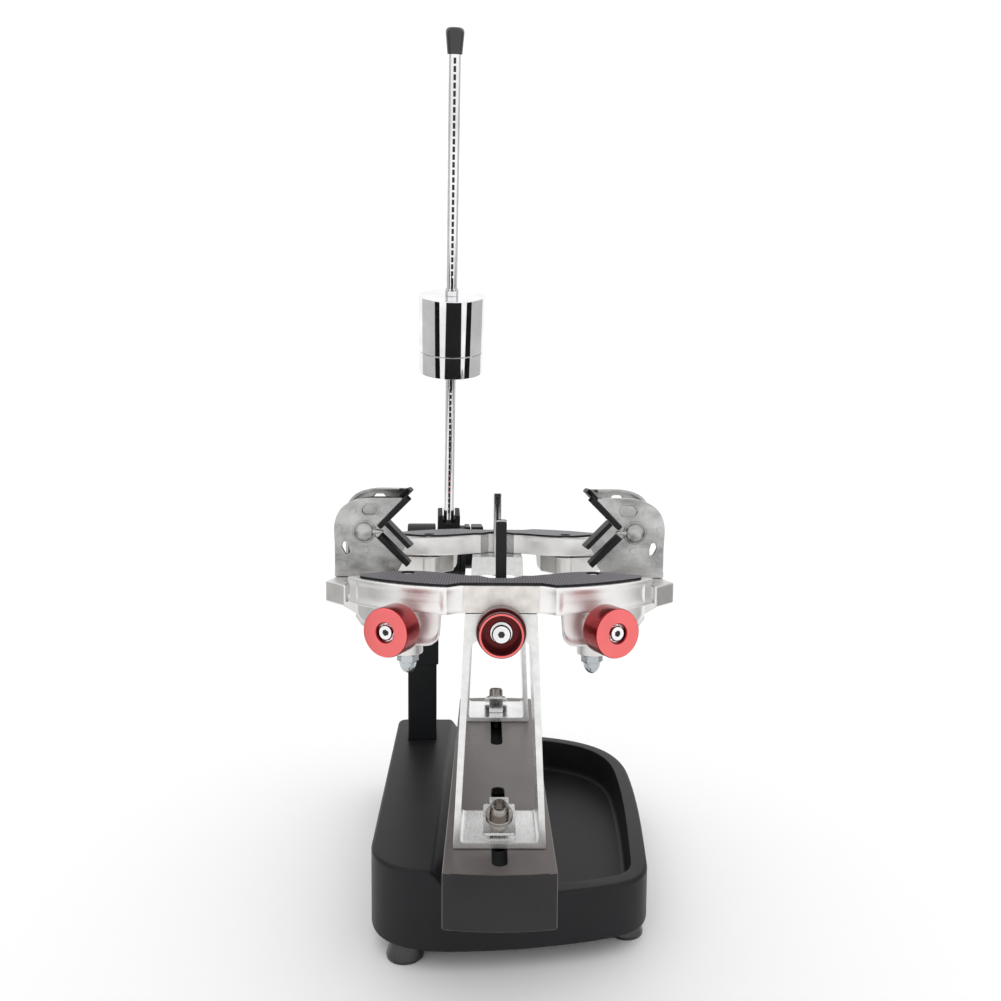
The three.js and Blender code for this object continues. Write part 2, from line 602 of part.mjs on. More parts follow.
// ---------- tension head ----------
// Drawn about the bar's axle: x along the axle, z up, before the head is turned on its post.
function wheel(radius, x0, x1, segments = 24) {
  return aimed(disc(radius, 0, x1 - x0, segments), new THREE.Vector3(x0, 0, 0), new THREE.Vector3(1, 0, 0));
}

function headHousing() {
  const { radius, left, right, sleeveBottom, sleeveWall } = HOUSING;
  const postLeft = POST.left - TENSION.x;
  const postFront = POST.frontY - TENSION.y;
  const postBack = postFront + POST.depth;
  const sleeve = block(
    postLeft - sleeveWall, postLeft + POST.width + sleeveWall, postFront - sleeveWall, postBack + sleeveWall,
    sleeveBottom - TENSION.z, POST.top - TENSION.z + 2,
  );
  const cheek = wheel(radius, left, right);
  const neck = block(left, right, postFront + 8, 30, POST.top - TENSION.z + 1, 0);
  const room = block(
    postLeft - GAP, postLeft + POST.width + GAP, postFront - GAP, postBack + GAP,
    -400, POST.top - TENSION.z + GAP,
  );
  return cut(join(sleeve, neck, cheek), room, wheel(SHAFT_RADIUS + GAP, left + 8, right + 1));
}

// The bar's pieces are drawn upright, along +Z from the axle.
function rodHolder() {
  const { half, radius, socketTop, socketHalfDepth } = HOLDER;
  const socket = block(-half, half, -socketHalfDepth, socketHalfDepth, 0, socketTop);
  const rodWay = disc(ROD.radius + GAP, ROD.start - GAP, socketTop + 1, 16);
  const notch = block(-8.5, 8.5, -20, 20, socketTop - 14, socketTop + 1);
  const shaftWay = wheel(SHAFT_RADIUS + GAP, -half - 1, half + 1);
  return cut(join(wheel(radius, -half, half), socket), rodWay, notch, shaftWay);
}

function weightStack() {
  const { radius, bore, bottom, small, main, groove, collar, collarHeight } = WEIGHT;
  const ring = (outer, z0, z1, edge) => turned([
    [bore, z0], [outer - edge, z0], [outer, z0 + edge],
    [outer, z1 - edge], [outer - edge, z1], [bore, z1], [bore, z0],
  ], 24);
  const mainBottom = bottom + small + GAP;
  const mainTop = mainBottom + groove + main;
  return {
    small_weight: ring(radius - 0.4, bottom, bottom + small, 0.8),
    main_weight: ring(radius, mainBottom, mainTop, 0.8),
    weight_collar: ring(collar, mainTop + GAP, mainTop + GAP + collarHeight, 0.6),
  };
}

function addTensionHead(root) {
  const head = new THREE.Group();
  head.position.set(TENSION.x, TENSION.y, TENSION.z);
  head.rotation.z = TENSION.turn;
  root.add(head);
  const postLeft = POST.left - TENSION.x;
  const postFront = POST.frontY - TENSION.y;
  const tube = (inset, z0, z1) => block(
    postLeft + inset, postLeft + POST.width - inset, postFront + inset, postFront + POST.depth - inset,
    z0, z1,
  );
  const postBottom = BASE.platform + GAP - TENSION.z;
  const postTop = POST.top - TENSION.z;
  const post = cut(tube(0, postBottom, postTop), tube(POST.wall, postBottom - 1, postTop + 1));
  head.add(piece("head_post", post, "blackSteel"));
  head.add(piece("head_housing", headHousing(), "blackSteel"));

  const { radius, left, right } = DRUM;
  const drum = join(
    wheel(SHAFT_RADIUS, HOUSING.left + 9, left + 1),
    wheel(radius, left, left + 7),
    wheel(DRUM.hub, left + 6, right),
  );
  head.add(piece("gripper_drum", drum, "blackSteel"));
  const jaw = [-DRUM.jawHalf, DRUM.jawHalf, DRUM.hub + 0.5, radius];
  head.add(piece("fixed_jaw", block(left + 7 + GAP, left + 14, ...jaw), "blackSteel"));
  head.add(piece("sliding_jaw", block(left + 16.5, right - 4, ...jaw), "blackSteel"));

  const bar = new THREE.Group();
  bar.rotation.x = TENSION.lean;
  head.add(bar);
  bar.add(piece("rod_holder", rodHolder(), "blackSteel"));
  bar.add(piece("drop_rod", disc(ROD.radius, ROD.start, ROD.end - 4, 16), "chrome"));
  const cap = turned([
    [0, ROD.end - 4 + GAP], [ROD.radius + GAP, ROD.end - 4 + GAP],
    [ROD.radius + GAP, ROD.end - ROD_CAP.length], [ROD_CAP.bottom, ROD.end - ROD_CAP.length],
    [ROD_CAP.top, ROD.end - 4], [ROD_CAP.top - 2, ROD.end], [0, ROD.end],
  ], 16);
  bar.add(piece("rod_cap", cap, "rubber"));
  for (const [name, geometry] of Object.entries(weightStack())) {
    bar.add(piece(name, geometry, "chrome"));
  }
}

// ---------- the machine ----------
const machine = new THREE.Group();
machine.position.copy(PIVOT);
addBase(machine);
const table = new THREE.Group();
machine.add(table);
addTurntable(table);
addTower(table, "near", NEAR_TOWER_Y, 0);
addTower(table, "far", FAR_TOWER_Y, Math.PI);
addTensionHead(machine);

export default machine;
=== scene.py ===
"""Table-top drop-weight racquet stringing machine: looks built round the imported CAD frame.

Shapes are drawn in millimetres in the frame of the part they belong to (pivot, tower, tension head or bar)
and are placed in metres in the row frame.
"""

import math

import bmesh
import bpy
from mathutils import Matrix, Vector
from mathutils.geometry import tessellate_polygon


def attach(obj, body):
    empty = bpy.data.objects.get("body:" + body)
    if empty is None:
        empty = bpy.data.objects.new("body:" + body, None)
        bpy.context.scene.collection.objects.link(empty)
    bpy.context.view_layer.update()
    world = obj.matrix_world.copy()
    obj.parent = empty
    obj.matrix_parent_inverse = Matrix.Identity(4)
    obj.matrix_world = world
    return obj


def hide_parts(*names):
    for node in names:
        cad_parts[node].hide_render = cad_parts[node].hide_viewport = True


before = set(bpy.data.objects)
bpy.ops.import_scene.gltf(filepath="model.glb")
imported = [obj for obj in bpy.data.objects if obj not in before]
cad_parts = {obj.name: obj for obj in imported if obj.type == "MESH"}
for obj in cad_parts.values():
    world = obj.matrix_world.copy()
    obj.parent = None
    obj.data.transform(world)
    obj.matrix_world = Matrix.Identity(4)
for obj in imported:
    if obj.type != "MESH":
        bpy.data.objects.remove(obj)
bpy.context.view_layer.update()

# ---------- driving dimensions, mm, as in the CAD ----------
GAP = 0.3
PIVOT = Vector((-5.29, -76.39, 0.0))
CHANNEL_TOP = 179.0
TOWER_Y = {"near": -146.25, "far": 155.4}
TENSION = Vector((-66.0, 332.0, 350.0))
TENSION_TURN = math.radians(4.2)
ROD_LEAN = math.radians(20.15)
OPENED = {"near": 0.0, "far": math.radians(7.3)}

DECK, PLATFORM, SHELL_BOTTOM = 74.0, 99.0, 19.0
FOLD_X, FOLD_RUN = -62.0, 18.0
TRAY_LEFT, TRAY_FLOOR, TRAY_RIM = 54.0, 32.0, 17.0

SENSOR, LENS = 36.0, 30.57                 # mm
CAMERA_AT = -0.01639, -0.91899, 0.521      # metres
PITCH, YAW, ROLL = 4.84, 0.84, 0.45        # degrees

WORLD_STRENGTH, FLOOR_GREY = 1.08, 0.97
FLAG_HEIGHT, FLAG_FALL = 305.0, 0.24       # height along the bar in mm, and how far a flag hangs per mm away

MM = 0.001
UP = Vector((0, 0, 1))
TO_USER = (0, -1, 0)
QUARTER = math.pi / 2


def shift(x, y, z):
    return Matrix.Translation(Vector((x, y, z)))


def turn(angle, axis):
    return Matrix.Rotation(angle, 4, axis)


METRES = Matrix.Scale(MM, 4)
PLACE = {"pivot": METRES @ Matrix.Translation(PIVOT)}
PLACE["near"] = PLACE["pivot"] @ shift(0, TOWER_Y["near"], CHANNEL_TOP)
PLACE["far"] = PLACE["pivot"] @ shift(0, TOWER_Y["far"], CHANNEL_TOP) @ turn(math.pi, "Z")
PLACE["head"] = PLACE["pivot"] @ Matrix.Translation(TENSION) @ turn(TENSION_TURN, "Z")
PLACE["bar"] = PLACE["head"] @ turn(ROD_LEAN, "X")


# ---------- camera ----------
def add_camera():
    data = bpy.data.cameras.new("camera")
    data.sensor_width = SENSOR
    data.lens = LENS
    camera = bpy.data.objects.new("camera", data)
    bpy.context.scene.collection.objects.link(camera)
    pitch, yaw, roll = (math.radians(angle) for angle in (PITCH, YAW, ROLL))
    aim = turn(-yaw, "Z") @ turn(QUARTER - pitch, "X") @ turn(roll, "Z")
    camera.matrix_world = shift(*CAMERA_AT) @ aim
    bpy.context.scene.camera = camera


add_camera()


# ---------- materials ----------
class Nodes:
    """A small helper that adds nodes to one material and links them."""

    def __init__(self, name):
        self.name = name
        self.material = bpy.data.materials.new(name)
        self.material.use_nodes = True
        self.tree = self.material.node_tree
        self.shader = self.tree.nodes["Principled BSDF"]
        self.place = self.add("ShaderNodeTexCoord").outputs["Object"]

    def add(self, kind, inputs=None, **settings):
        node = self.tree.nodes.new(kind)
        for key, value in settings.items():
            setattr(node, key, value)
        for key, value in (inputs or {}).items():
            if isinstance(value, bpy.types.NodeSocket):
                self.tree.links.new(value, node.inputs[key])
            else:
                node.inputs[key].default_value = value
        return node

    def noise(self, scale, detail, stretch=(1, 1, 1), roughness=0.5):
        place = self.add("ShaderNodeMapping", {"Vector": self.place, "Scale": stretch}).outputs["Vector"]
        inputs = {"Vector": place, "Scale": scale, "Detail": detail, "Roughness": roughness}
        return self.add("ShaderNodeTexNoise", inputs).outputs["Fac"]

    def mapped(self, value, low, high, from_low=0.3, from_high=0.7):
        inputs = {"Value": value, "From Min": from_low, "From Max": from_high, "To Min": low, "To Max": high}
        return self.add("ShaderNodeMapRange", inputs).outputs["Result"]

    def mixed(self, factor, first, second):
        mix = self.add("ShaderNodeMix", data_type="RGBA")
        self.tree.links.new(factor, mix.inputs["Factor"])
        mix.inputs["A"].default_value = (*first, 1)
        mix.inputs["B"].default_value = (*second, 1)
        return mix.outputs["Result"]

    def bump(self, height, strength, distance_mm):
        inputs = {"Height": height, "Strength": strength, "Distance": distance_mm * MM}
        return self.add("ShaderNodeBump", inputs).outputs["Normal"]

    def set(self, **values):
        for key, value in values.items():
            socket = self.shader.inputs[key.replace("_", " ")]
            if isinstance(value, bpy.types.NodeSocket):
                self.tree.links.new(value, socket)
            elif isinstance(value, tuple):
                socket.default_value = (*value, 1)
            else:
                socket.default_value = value


def scaled(colour, factor):
    return tuple(min(1.0, channel * factor) for channel in colour)


def surface(name, colour, roughness, metallic=0.0, grain=(900, 0.25, 0.05), mottle=(30, 0.12),
            stretch=(1, 1, 1), spread=0.12, coat=0.0, specular=0.5):
    """A finish whose colour drifts slowly, whose roughness varies and whose grain is a fine bump.

    grain is (noise scale per metre, bump strength, depth in mm); mottle is (scale per metre, colour drift).
    """
    nodes = Nodes(name)
    fine = nodes.noise(grain[0], 3.0, stretch)
    slow = nodes.noise(mottle[0], 4.0)
    darker, paler = scaled(colour, 1 - mottle[1]), scaled(colour, 1 + mottle[1])
    nodes.set(
        Base_Color=nodes.mixed(nodes.mapped(slow, 0, 1), darker, paler),
        Roughness=nodes.mapped(fine, max(0.0, roughness - spread / 2), roughness + spread / 2),
        Normal=nodes.bump(fine, grain[1], grain[2]),
        Metallic=metallic,
        Specular_IOR_Level=specular,
    )
    if coat:
        nodes.set(Coat_Weight=coat, Coat_Roughness=0.12)
    return nodes


def gridded_rubber():
    """Dark grey rubber moulded with a fine square grid."""
    nodes = surface("grid_rubber", (0.042, 0.040, 0.046), 0.5, grain=(1500, 0.3, 0.05))
    pitch, period = 2.2, 314.0      # mm: the pitch wanted, and what a wave texture of scale 1 has
    grooves = [
        nodes.add("ShaderNodeTexWave", {"Vector": nodes.place, "Scale": period / pitch}, bands_direction=axis)
        .outputs["Fac"] for axis in ("X", "Y")
    ]
    both = nodes.add("ShaderNodeMath", {0: grooves[0], 1: grooves[1]}, operation="MAXIMUM").outputs["Value"]
    colour = nodes.mixed(nodes.mapped(both, 0, 1, 0.55, 0.95), (0.25, 0.235, 0.26), (0.075, 0.07, 0.08))
    nodes.set(Base_Color=colour, Normal=nodes.bump(both, 0.6, -0.3))
    return nodes


def anodised_red(name, colour, roughness):
    """Red anodised aluminium with fine turning marks."""
    nodes = surface(name, colour, roughness, 0.85, (2600, 0.12, 0.02), (25, 0.08))
    nodes.set(Coat_Weight=0.25, Coat_Roughness=0.15)
    return nodes


def mottled_casting():
    """Die-cast zinc: satin grey with cloudy flow marks and small pits."""
    nodes = surface("grey_casting", (0.52, 0.52, 0.51), 0.36, 1.0, grain=(700, 0.22, 0.08))
    cloud = nodes.noise(34, 6.0, (1, 1, 1.6), 0.62)
    nodes.set(
        Base_Color=nodes.mixed(nodes.mapped(cloud, 0, 1), (0.25, 0.25, 0.245), (0.64, 0.64, 0.63)),
        Roughness=nodes.mapped(cloud, 0.30, 0.46),
    )
    return nodes


FINISH = {nodes.name: nodes.material for nodes in (
    surface("base_plastic", (0.014, 0.013, 0.015), 0.44, 0.0, (1700, 0.5, 0.06), (14, 0.1), specular=0.2),
    surface("black_rubber", (0.008, 0.008, 0.009), 0.42, 0.0, (1300, 0.3, 0.05), specular=0.25),
    surface("foot_rubber", (0.014, 0.014, 0.015), 0.28, 0.0, (500, 0.15, 0.05), coat=0.4),
    gridded_rubber(),
    surface("black_steel", (0.008, 0.009, 0.010), 0.42, 0.0, (1900, 0.5, 0.05), specular=0.2),
    surface("black_plastic", (0.010, 0.010, 0.011), 0.4, 0.0, (1500, 0.4, 0.05), specular=0.25),
    surface("bronze_anodised", (0.145, 0.128, 0.122), 0.36, 0.6, (2200, 0.3, 0.03), (16, 0.1), (1, 0.06, 1)),
    # Darker copy of the bronze anodising for the end faces of the channel: painted shade, the dark reflection
    # the ends show.
    surface("bronze_painted_shade", (0.03, 0.028, 0.029), 0.4, 0.5, (2200, 0.3, 0.03), (16, 0.15), specular=0.3),
    surface("mill_aluminium", (0.80, 0.80, 0.80), 0.26, 1.0, (1500, 0.2, 0.03), stretch=(1, 0.05, 1)),
    surface("sawn_aluminium", (0.80, 0.80, 0.79), 0.38, 0.95, (1400, 0.3, 0.06), (160, 0.08)),
    surface("bright_casting", (0.90, 0.89, 0.88), 0.42, 1.0, (1100, 0.25, 0.04), (50, 0.05)),
    surface("milled_casting", (0.74, 0.71, 0.68), 0.4, 1.0, (1400, 0.5, 0.06), (120, 0.12), (1, 1, 0.06)),
    mottled_casting(),
    surface("satin_casting", (0.76, 0.74, 0.72), 0.4, 1.0, (900, 0.25, 0.05), (60, 0.08)),
    surface("zinc_plate", (0.80, 0.81, 0.80), 0.2, 1.0, (600, 0.2, 0.03)),
    surface("bolt_steel", (0.36, 0.33, 0.31), 0.16, 1.0, (500, 0.2, 0.03)),
    surface("nut_chrome", (0.50, 0.53, 0.55), 0.12, 1.0, (300, 0.05, 0.01)),
    surface("chrome", (0.86, 0.86, 0.87), 0.05, 1.0, (300, 0.02, 0.01), spread=0.03),
    surface("bare_steel", (0.62, 0.62, 0.62), 0.22, 1.0, (1500, 0.3, 0.03), stretch=(1, 1, 0.05)),
    anodised_red("red_anodised", (0.32, 0.008, 0.012), 0.25),
    # Bright copy of the red anodising for the front faces of the knobs: painted reflection of the white
    # surroundings.
    anodised_red("red_painted_reflection", (0.86, 0.17, 0.17), 0.34),
    # Dark copy of the red anodising for the centre knob: painted shade, mainly for the hollow of its cup.
    anodised_red("red_painted_shade", (0.09, 0.001, 0.002), 0.2),
    surface("gloss_black_cap", (0.006, 0.006, 0.006), 0.12, 0.0, (160, 0.1, 0.08), coat=0.6),
    surface("ink", (0.01, 0.01, 0.01), 0.6, 0.0, (900, 0.1, 0.02)),
    # Black for the plates set in the hex sockets of the screws: painted shade of the recess.
    surface("socket_painted_shade", (0.012, 0.012, 0.012), 0.5, 0.0, (900, 0.1, 0.02)),
    surface("threaded_black", (0.02, 0.02, 0.021), 0.35, 0.4, (900, 0.2, 0.03)),
)}


# ---------- shape tools ----------
def merged(*shapes):
    """One bmesh from several, each given as a bmesh or a (bmesh, matrix) pair."""
    whole = bmesh.new()
    for shape in shapes:
        part, matrix = shape if isinstance(shape, tuple) else (shape, Matrix.Identity(4))
        mesh = bpy.data.meshes.new("part")
        part.to_mesh(mesh)
        part.free()
        mesh.transform(matrix)
        if matrix.determinant() < 0:
            mesh.flip_normals()
        whole.from_mesh(mesh)
        bpy.data.meshes.remove(mesh)
    return whole


def add_ring(shape, points):
    return [shape.verts.new(point) for point in points]


def add_circle(shape, radius, z, count, groove=0.0):
    """A round ring of vertices; every second one lies deeper by the groove, which makes a knurl."""
    sizes = [radius - groove * (i % 2) for i in range(count)]
    angles = [i * 2 * math.pi / count for i in range(count)]
    return add_ring(shape, [(size * math.cos(a), size * math.sin(a), z) for size, a in zip(sizes, angles)])


def add_outline(shape, outline, z, inset=0.0):
    return add_ring(shape, [(x, y, z) for x, y in offset(outline, inset)])


def bridge(shape, first, second):
    count = len(first)
    for i in range(count):
        j = (i + 1) % count
        shape.faces.new((first[i], first[j], second[j], second[i]))


def skin(shape, rings):
    """Joins each ring to the next."""
    for first, second in zip(rings, rings[1:]):
        bridge(shape, first, second)


def fill(shape, rings):
    """Closes the flat area between rings, which lie in one plane; the first ring is the outer one."""
    corners = [vertex for ring in rings for vertex in ring]
    for triangle in tessellate_polygon([[vertex.co for vertex in ring] for ring in rings]):
        shape.faces.new([corners[index] for index in triangle])


def lathe(profile, segments=64):
    """A turned shape about Z from (radius, height) points; a radius of 0 closes an end."""
    shape = bmesh.new()
    rings = []
    for radius, height in profile:
        if radius == 0:
            rings.append([shape.verts.new((0, 0, height))])
        else:
            rings.append(add_circle(shape, radius, height, segments))
    for first, second in zip(rings, rings[1:]):
        if len(first) == len(second):
            bridge(shape, first, second)
            continue
        tip, ring = (first[0], second) if len(first) == 1 else (second[0], first)
        for i, vertex in enumerate(ring):
            shape.faces.new((tip, vertex, ring[(i + 1) % len(ring)]))
    return shape


def arc(cx, cy, radius, start_deg, end_deg, steps):
    angles = [math.radians(start_deg + (end_deg - start_deg) * i / steps) for i in range(steps + 1)]
    return [(cx + radius * math.cos(a), cy + radius * math.sin(a)) for a in angles]


def disc(radius, x=0.0, y=0.0, count=24):
    """The outline of a circle."""
    return arc(x, y, radius, 0, 360 - 360 / count, count - 1)


def box_outline(x0, x1, y0, y1):
    return [(x0, y0), (x1, y0), (x1, y1), (x0, y1)]


def round_over(edge, top, steps):
    """The (inset, height) levels of a wall's rounded top edge."""
    angles = [k * QUARTER / steps for k in range(steps + 1)]
    return [(edge * (1 - math.cos(a)), top - edge * (1 - math.sin(a))) for a in angles]


def rounded(points, radii, steps=5):
    """The polygon with its corners rounded; radii is one number or one for each corner."""
    count = len(points)
    if not isinstance(radii, (list, tuple)):
        radii = [radii] * count
    result = []
    for i, corner in enumerate(points):
        before, here, after = (Vector(points[k]) for k in (i - 1, i, (i + 1) % count))
        into, out = (before - here), (after - here)
        radius = radii[i]
        if radius <= 0:
            result.append(tuple(here))
            continue
        angle = into.angle(out)
        reach = min(radius / math.tan(angle / 2), into.length * 0.48, out.length * 0.48)
        start, end = here + into.normalized() * reach, here + out.normalized() * reach
        for k in range(steps + 1):
            t = k / steps
            result.append(tuple(start.lerp(here, t).lerp(here.lerp(end, t), t)))
    return result


def bezier(*corners, steps):
    """Points along a Bezier curve, without its last point."""
    points = []
    for i in range(steps):
        t = i / steps
        row = [Vector(corner) for corner in corners]
        while len(row) > 1:
            row = [a.lerp(b, t) for a, b in zip(row, row[1:])]
        points.append(tuple(row[0]))
    return points


def area(points):
    return sum(a[0] * b[1] - b[0] * a[1] for a, b in zip(points, points[1:] + points[:1])) / 2


def offset(points, distance):
    """The loop moved to its left by a distance, or by one distance for each point."""
    count = len(points)
    moved = []
    for i in range(count):
        before, here, after = Vector(points[i - 1]), Vector(points[i]), Vector(points[(i + 1) % count])
        first, second = (here - before), (after - here)
        if first.length < 1e-9 or second.length < 1e-9:
            moved.append(tuple(here))
            continue
        first.normalize()
        second.normalize()
        left = Vector((-first.y - second.y, first.x + second.x))
        step = distance[i] if isinstance(distance, list) else distance
        moved.append(tuple(here + left * step / max(0.4, 1 + first.dot(second))))
    return moved


def plate(outer, z0, z1, holes=(), bevel=0.6, steps=2):
    """A flat piece between z0 and z1 with rounded edges, from an outline and the outlines of its holes."""
    shape = bmesh.new()
    bevel = min(bevel, (z1 - z0) * 0.45)
    loops = [list(outer) if area(outer) > 0 else list(outer)[::-1]]
    loops += [list(hole)[::-1] if area(hole) > 0 else list(hole) for hole in holes]
    levels = [(bevel * (1 - math.sin(a)), z0 + bevel * (1 - math.cos(a)))
              for a in (k * QUARTER / steps for k in range(steps + 1))]
    levels += [(inset, z0 + z1 - z) for inset, z in reversed(levels)]
    bottoms, tops = [], []
    for loop in loops:
        rings = [add_outline(shape, loop, z, inset) for inset, z in levels]
        skin(shape, rings)
        bottoms.append(rings[0])
        tops.append(rings[-1])
    fill(shape, bottoms)
    fill(shape, tops)
    return shape


def bar_box(x0, x1, y0, y1, z0, z1, corner, bevel):
    return plate(rounded(box_outline(x0, x1, y0, y1), corner, 3), z0, z1, bevel=bevel)


ALONG_Y = turn(QUARTER, "X")


def slab(outer, y0, y1, holes=(), bevel=0.6):
    """A flat piece drawn in X and Z and carried along Y."""
    return merged((plate(outer, -y1, -y0, holes, bevel), ALONG_Y))


def aimed(start, direction):
    """The matrix that lays a shape's +Z along a direction from a start."""
    spin = UP.rotation_difference(Vector(direction)).to_matrix().to_4x4()
    return Matrix.Translation(Vector(start)) @ spin


def hexagon(across, count):
    """Points round a hexagon at even angles, so that it bridges to a circle of the same count."""
    points = []
    for i in range(count):
        angle = i * 2 * math.pi / count
        radius = across / 2 / math.cos(angle % (math.pi / 3) - math.pi / 6)
        points.append((radius * math.cos(angle), radius * math.sin(angle)))
    return points


def socket_head(radius, height, across, ribs=0.0):
    """A cap screw's head on z = 0, with a hexagon socket in its top and ribs of some depth round it."""
    count = 48
    slope = 0.15 * height
    shape = bmesh.new()
    rings = [add_circle(shape, size, z, count, groove) for size, z, groove in (
        (radius, 0, ribs), (radius, height * 0.75, ribs), (radius, height * 0.78, 0),
        (radius - slope * 0.6, height * 0.96, 0), (radius - slope, height, 0), (across / 2 + 1.0, height, 0),
    )]
    rings += [add_outline(shape, hexagon(across, count), z) for z in (height - 0.3, height * 0.45)]
    skin(shape, rings)
    fill(shape, [rings[-1]])
    fill(shape, [rings[0]])
    return shape


def build(name, shape, place, body, finish, stands_for=(), sharp=32.0, by_normal=None, facing=None,
          weighted=True):
    """Makes a piece of the object.

    by_normal gives (axis, limit, finish) for faces that look along an axis either way; facing gives the
    finish of the topmost flat faces. Both hold before the piece is placed.
    """
    mesh = bpy.data.meshes.new(name)
    bmesh.ops.recalc_face_normals(shape, faces=shape.faces)
    shape.to_mesh(mesh)
    shape.free()
    mesh.materials.append(FINISH[finish])
    if by_normal:
        axis, limit, other = by_normal
        mesh.materials.append(FINISH[other])
        for polygon in mesh.polygons:
            if abs(polygon.normal[axis]) > limit:
                polygon.material_index = 1
    if facing:
        mesh.materials.append(FINISH[facing])
        top = max(vertex.co.z for vertex in mesh.vertices)
        for polygon in mesh.polygons:
            if polygon.normal.z > 0.9 and polygon.center.z > top - 1:
                polygon.material_index = 1
    matrix = PLACE[place] if isinstance(place, str) else place
    mesh.transform(matrix)
    if matrix.determinant() < 0:
        mesh.flip_normals()
    mesh.shade_smooth()
    mesh.set_sharp_from_angle(angle=math.radians(sharp))
    piece = bpy.data.objects.new(name, mesh)
    bpy.context.scene.collection.objects.link(piece)
    if weighted:
        weight = piece.modifiers.new("weighted", "WEIGHTED_NORMAL")
        weight.keep_sharp = True
    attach(piece, body)
    if stands_for:
        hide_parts(*([stands_for] if isinstance(stands_for, str) else stands_for))
    return piece


# ---------- base ----------
def base_plan():
    plan = bezier((-128, 0), (-128, -38), (-104, -66), (-45, -66), steps=22)
    plan += bezier((-45, -66), (15, -66), (80, -54), (118, -42), steps=18)
    plan += bezier((118, -42), (144, -33), (154, -20), (157, 6), steps=12)
    plan += bezier((157, 6), (164, 70), (174, 150), (174, 232), steps=16)
    plan += bezier((174, 232), (174, 318), (128, 350), (62, 366), steps=24)
    plan += bezier((62, 366), (0, 366), (-124, 366), steps=8)
    plan += bezier((-124, 366), (-138, 366), (-138, 352), steps=8)
    plan += bezier((-138, 352), (-133, 176), (-128, 0), steps=8)
    return plan


def deck_height(x):
    """Height of the top: the platform on the left, eased down to the deck."""
    soft = 3.0
    start, end = FOLD_X, FOLD_X + FOLD_RUN
    slope = (PLATFORM - DECK) / FOLD_RUN
    if x <= start - soft:
        return PLATFORM
    if x < start + soft:
        return PLATFORM - slope * (x - start + soft) ** 2 / (4 * soft)
    if x <= end - soft:
        return PLATFORM - slope * (x - start)
    if x < end + soft:
        return DECK + slope * (end + soft - x) ** 2 / (4 * soft)
    return DECK


def pocket_plan():
    """Plan of the tray, inside the rim and right of the channel."""
    inner = [point for point in offset(base_plan(), TRAY_RIM) if point[0] > TRAY_LEFT + 16]
    corners = [(TRAY_LEFT, inner[-1][1]), (TRAY_LEFT, inner[0][1])]
    return rounded(inner + corners, [0] * len(inner) + [14, 14], 8)


def base_moulding():
    """The shell: a flared skirt, a top that is folded down to the deck, and the tray."""
    edge, lip = 4.0, 2.5
    shape = bmesh.new()
    levels = [(5.5, SHELL_BOTTOM + 3), (5, SHELL_BOTTOM), (lip, SHELL_BOTTOM), (0.6, SHELL_BOTTOM + 0.8),
              (0, SHELL_BOTTOM + 2.5)] + round_over(edge, PLATFORM, 5)
    rings = [add_outline(shape, base_plan(), z, inset) for inset, z in levels]
    skin(shape, rings)
    pocket = pocket_plan()
    rim = add_outline(shape, pocket, PLATFORM, -1.5)
    fill(shape, [rings[-1], rim])
    folds = [FOLD_X + step for step in (-3, -1.5, 0, 1.5, 3)]
    folds += [x + FOLD_RUN for x in folds]
    for x in folds:
        everything = shape.verts[:] + shape.edges[:] + shape.faces[:]
        bmesh.ops.bisect_plane(shape, geom=everything, plane_co=(x, 0, 0), plane_no=(1, 0, 0))
    for vertex in shape.verts:
        if vertex.co.z > SHELL_BOTTOM + 10:
            vertex.co.z += deck_height(vertex.co.x) - PLATFORM
    depth = DECK - TRAY_FLOOR
    inside = [(-0.4, 0.4), (0, 1.5), (0.8, depth - 8), (1.6, depth - 4), (3.6, depth - 1.2), (7, depth)]
    walls = [rim] + [add_outline(shape, pocket, DECK - drop, inset) for inset, drop in inside]
    skin(shape, walls)
    fill(shape, [walls[-1]])
    return shape


def add_base():
    build("base_moulding", base_moulding(), "pivot", "base", "base_plastic", "base_shell", sharp=40)
    cover = plate(offset(base_plan(), 6), SHELL_BOTTOM + 0.4, SHELL_BOTTOM + 2, [disc(31)], 0.3)
    build("base_cover", cover, "pivot", "base", "black_steel", "base_plate")
    profile = [(0, 2.5), (6, 2.5), (6.6, 0.6), (7.5, 0), (17.3, 0), (18.6, 0.5), (19, 1.7), (18.6, 4),
               (14.6, 17), (14, 18.7), (0, 18.7)]
    feet = {
        "foot_front_left": (-90.3, -37.5), "foot_front_right": (134, 2),
        "foot_rear_left": (-112, 336), "foot_rear_right": (112, 312),
    }
    for node, (x, y) in feet.items():
        foot = merged((lathe(profile), shift(x, y, 0)))
        build("rubber_" + node, foot, "pivot", "base", "foot_rubber", node, sharp=50)
    column = lathe([(0, 74.3), (42, 74.3), (42, 83.4), (41.2, 84.4), (35, 89), (31.5, 93), (30, 98),
                    (30, 121), (29, 122), (14, 122), (14, 152), (13, 153), (0, 153)], 72)
    build("turntable_spindle", column, "pivot", "base", "black_steel", "spindle")


# ---------- turntable ----------
SLOT_HALF, SLOT_START, SLOT_END = 6.25, 54.5, 203.0
SHADE_X, SHADE_Y, SHADE_BOTTOM = 40.6, 206.0, 149.4


def channel_outline(half, length, bulge):
    """Plan of the channel, whose ends bulge a little."""
    front = bezier((-half, -length), (0, -length - 2 * bulge), (half, -length), steps=14)
    rear = [(-x, -y) for x, y in front]
    return front + [(half, -length)] + rear + [(-half, length)]


def slot_outline(half, y0, y1):
    return arc(0, y0 + half, half, 180, 360, 10) + arc(0, y1 - half, half, 0, 180, 10)


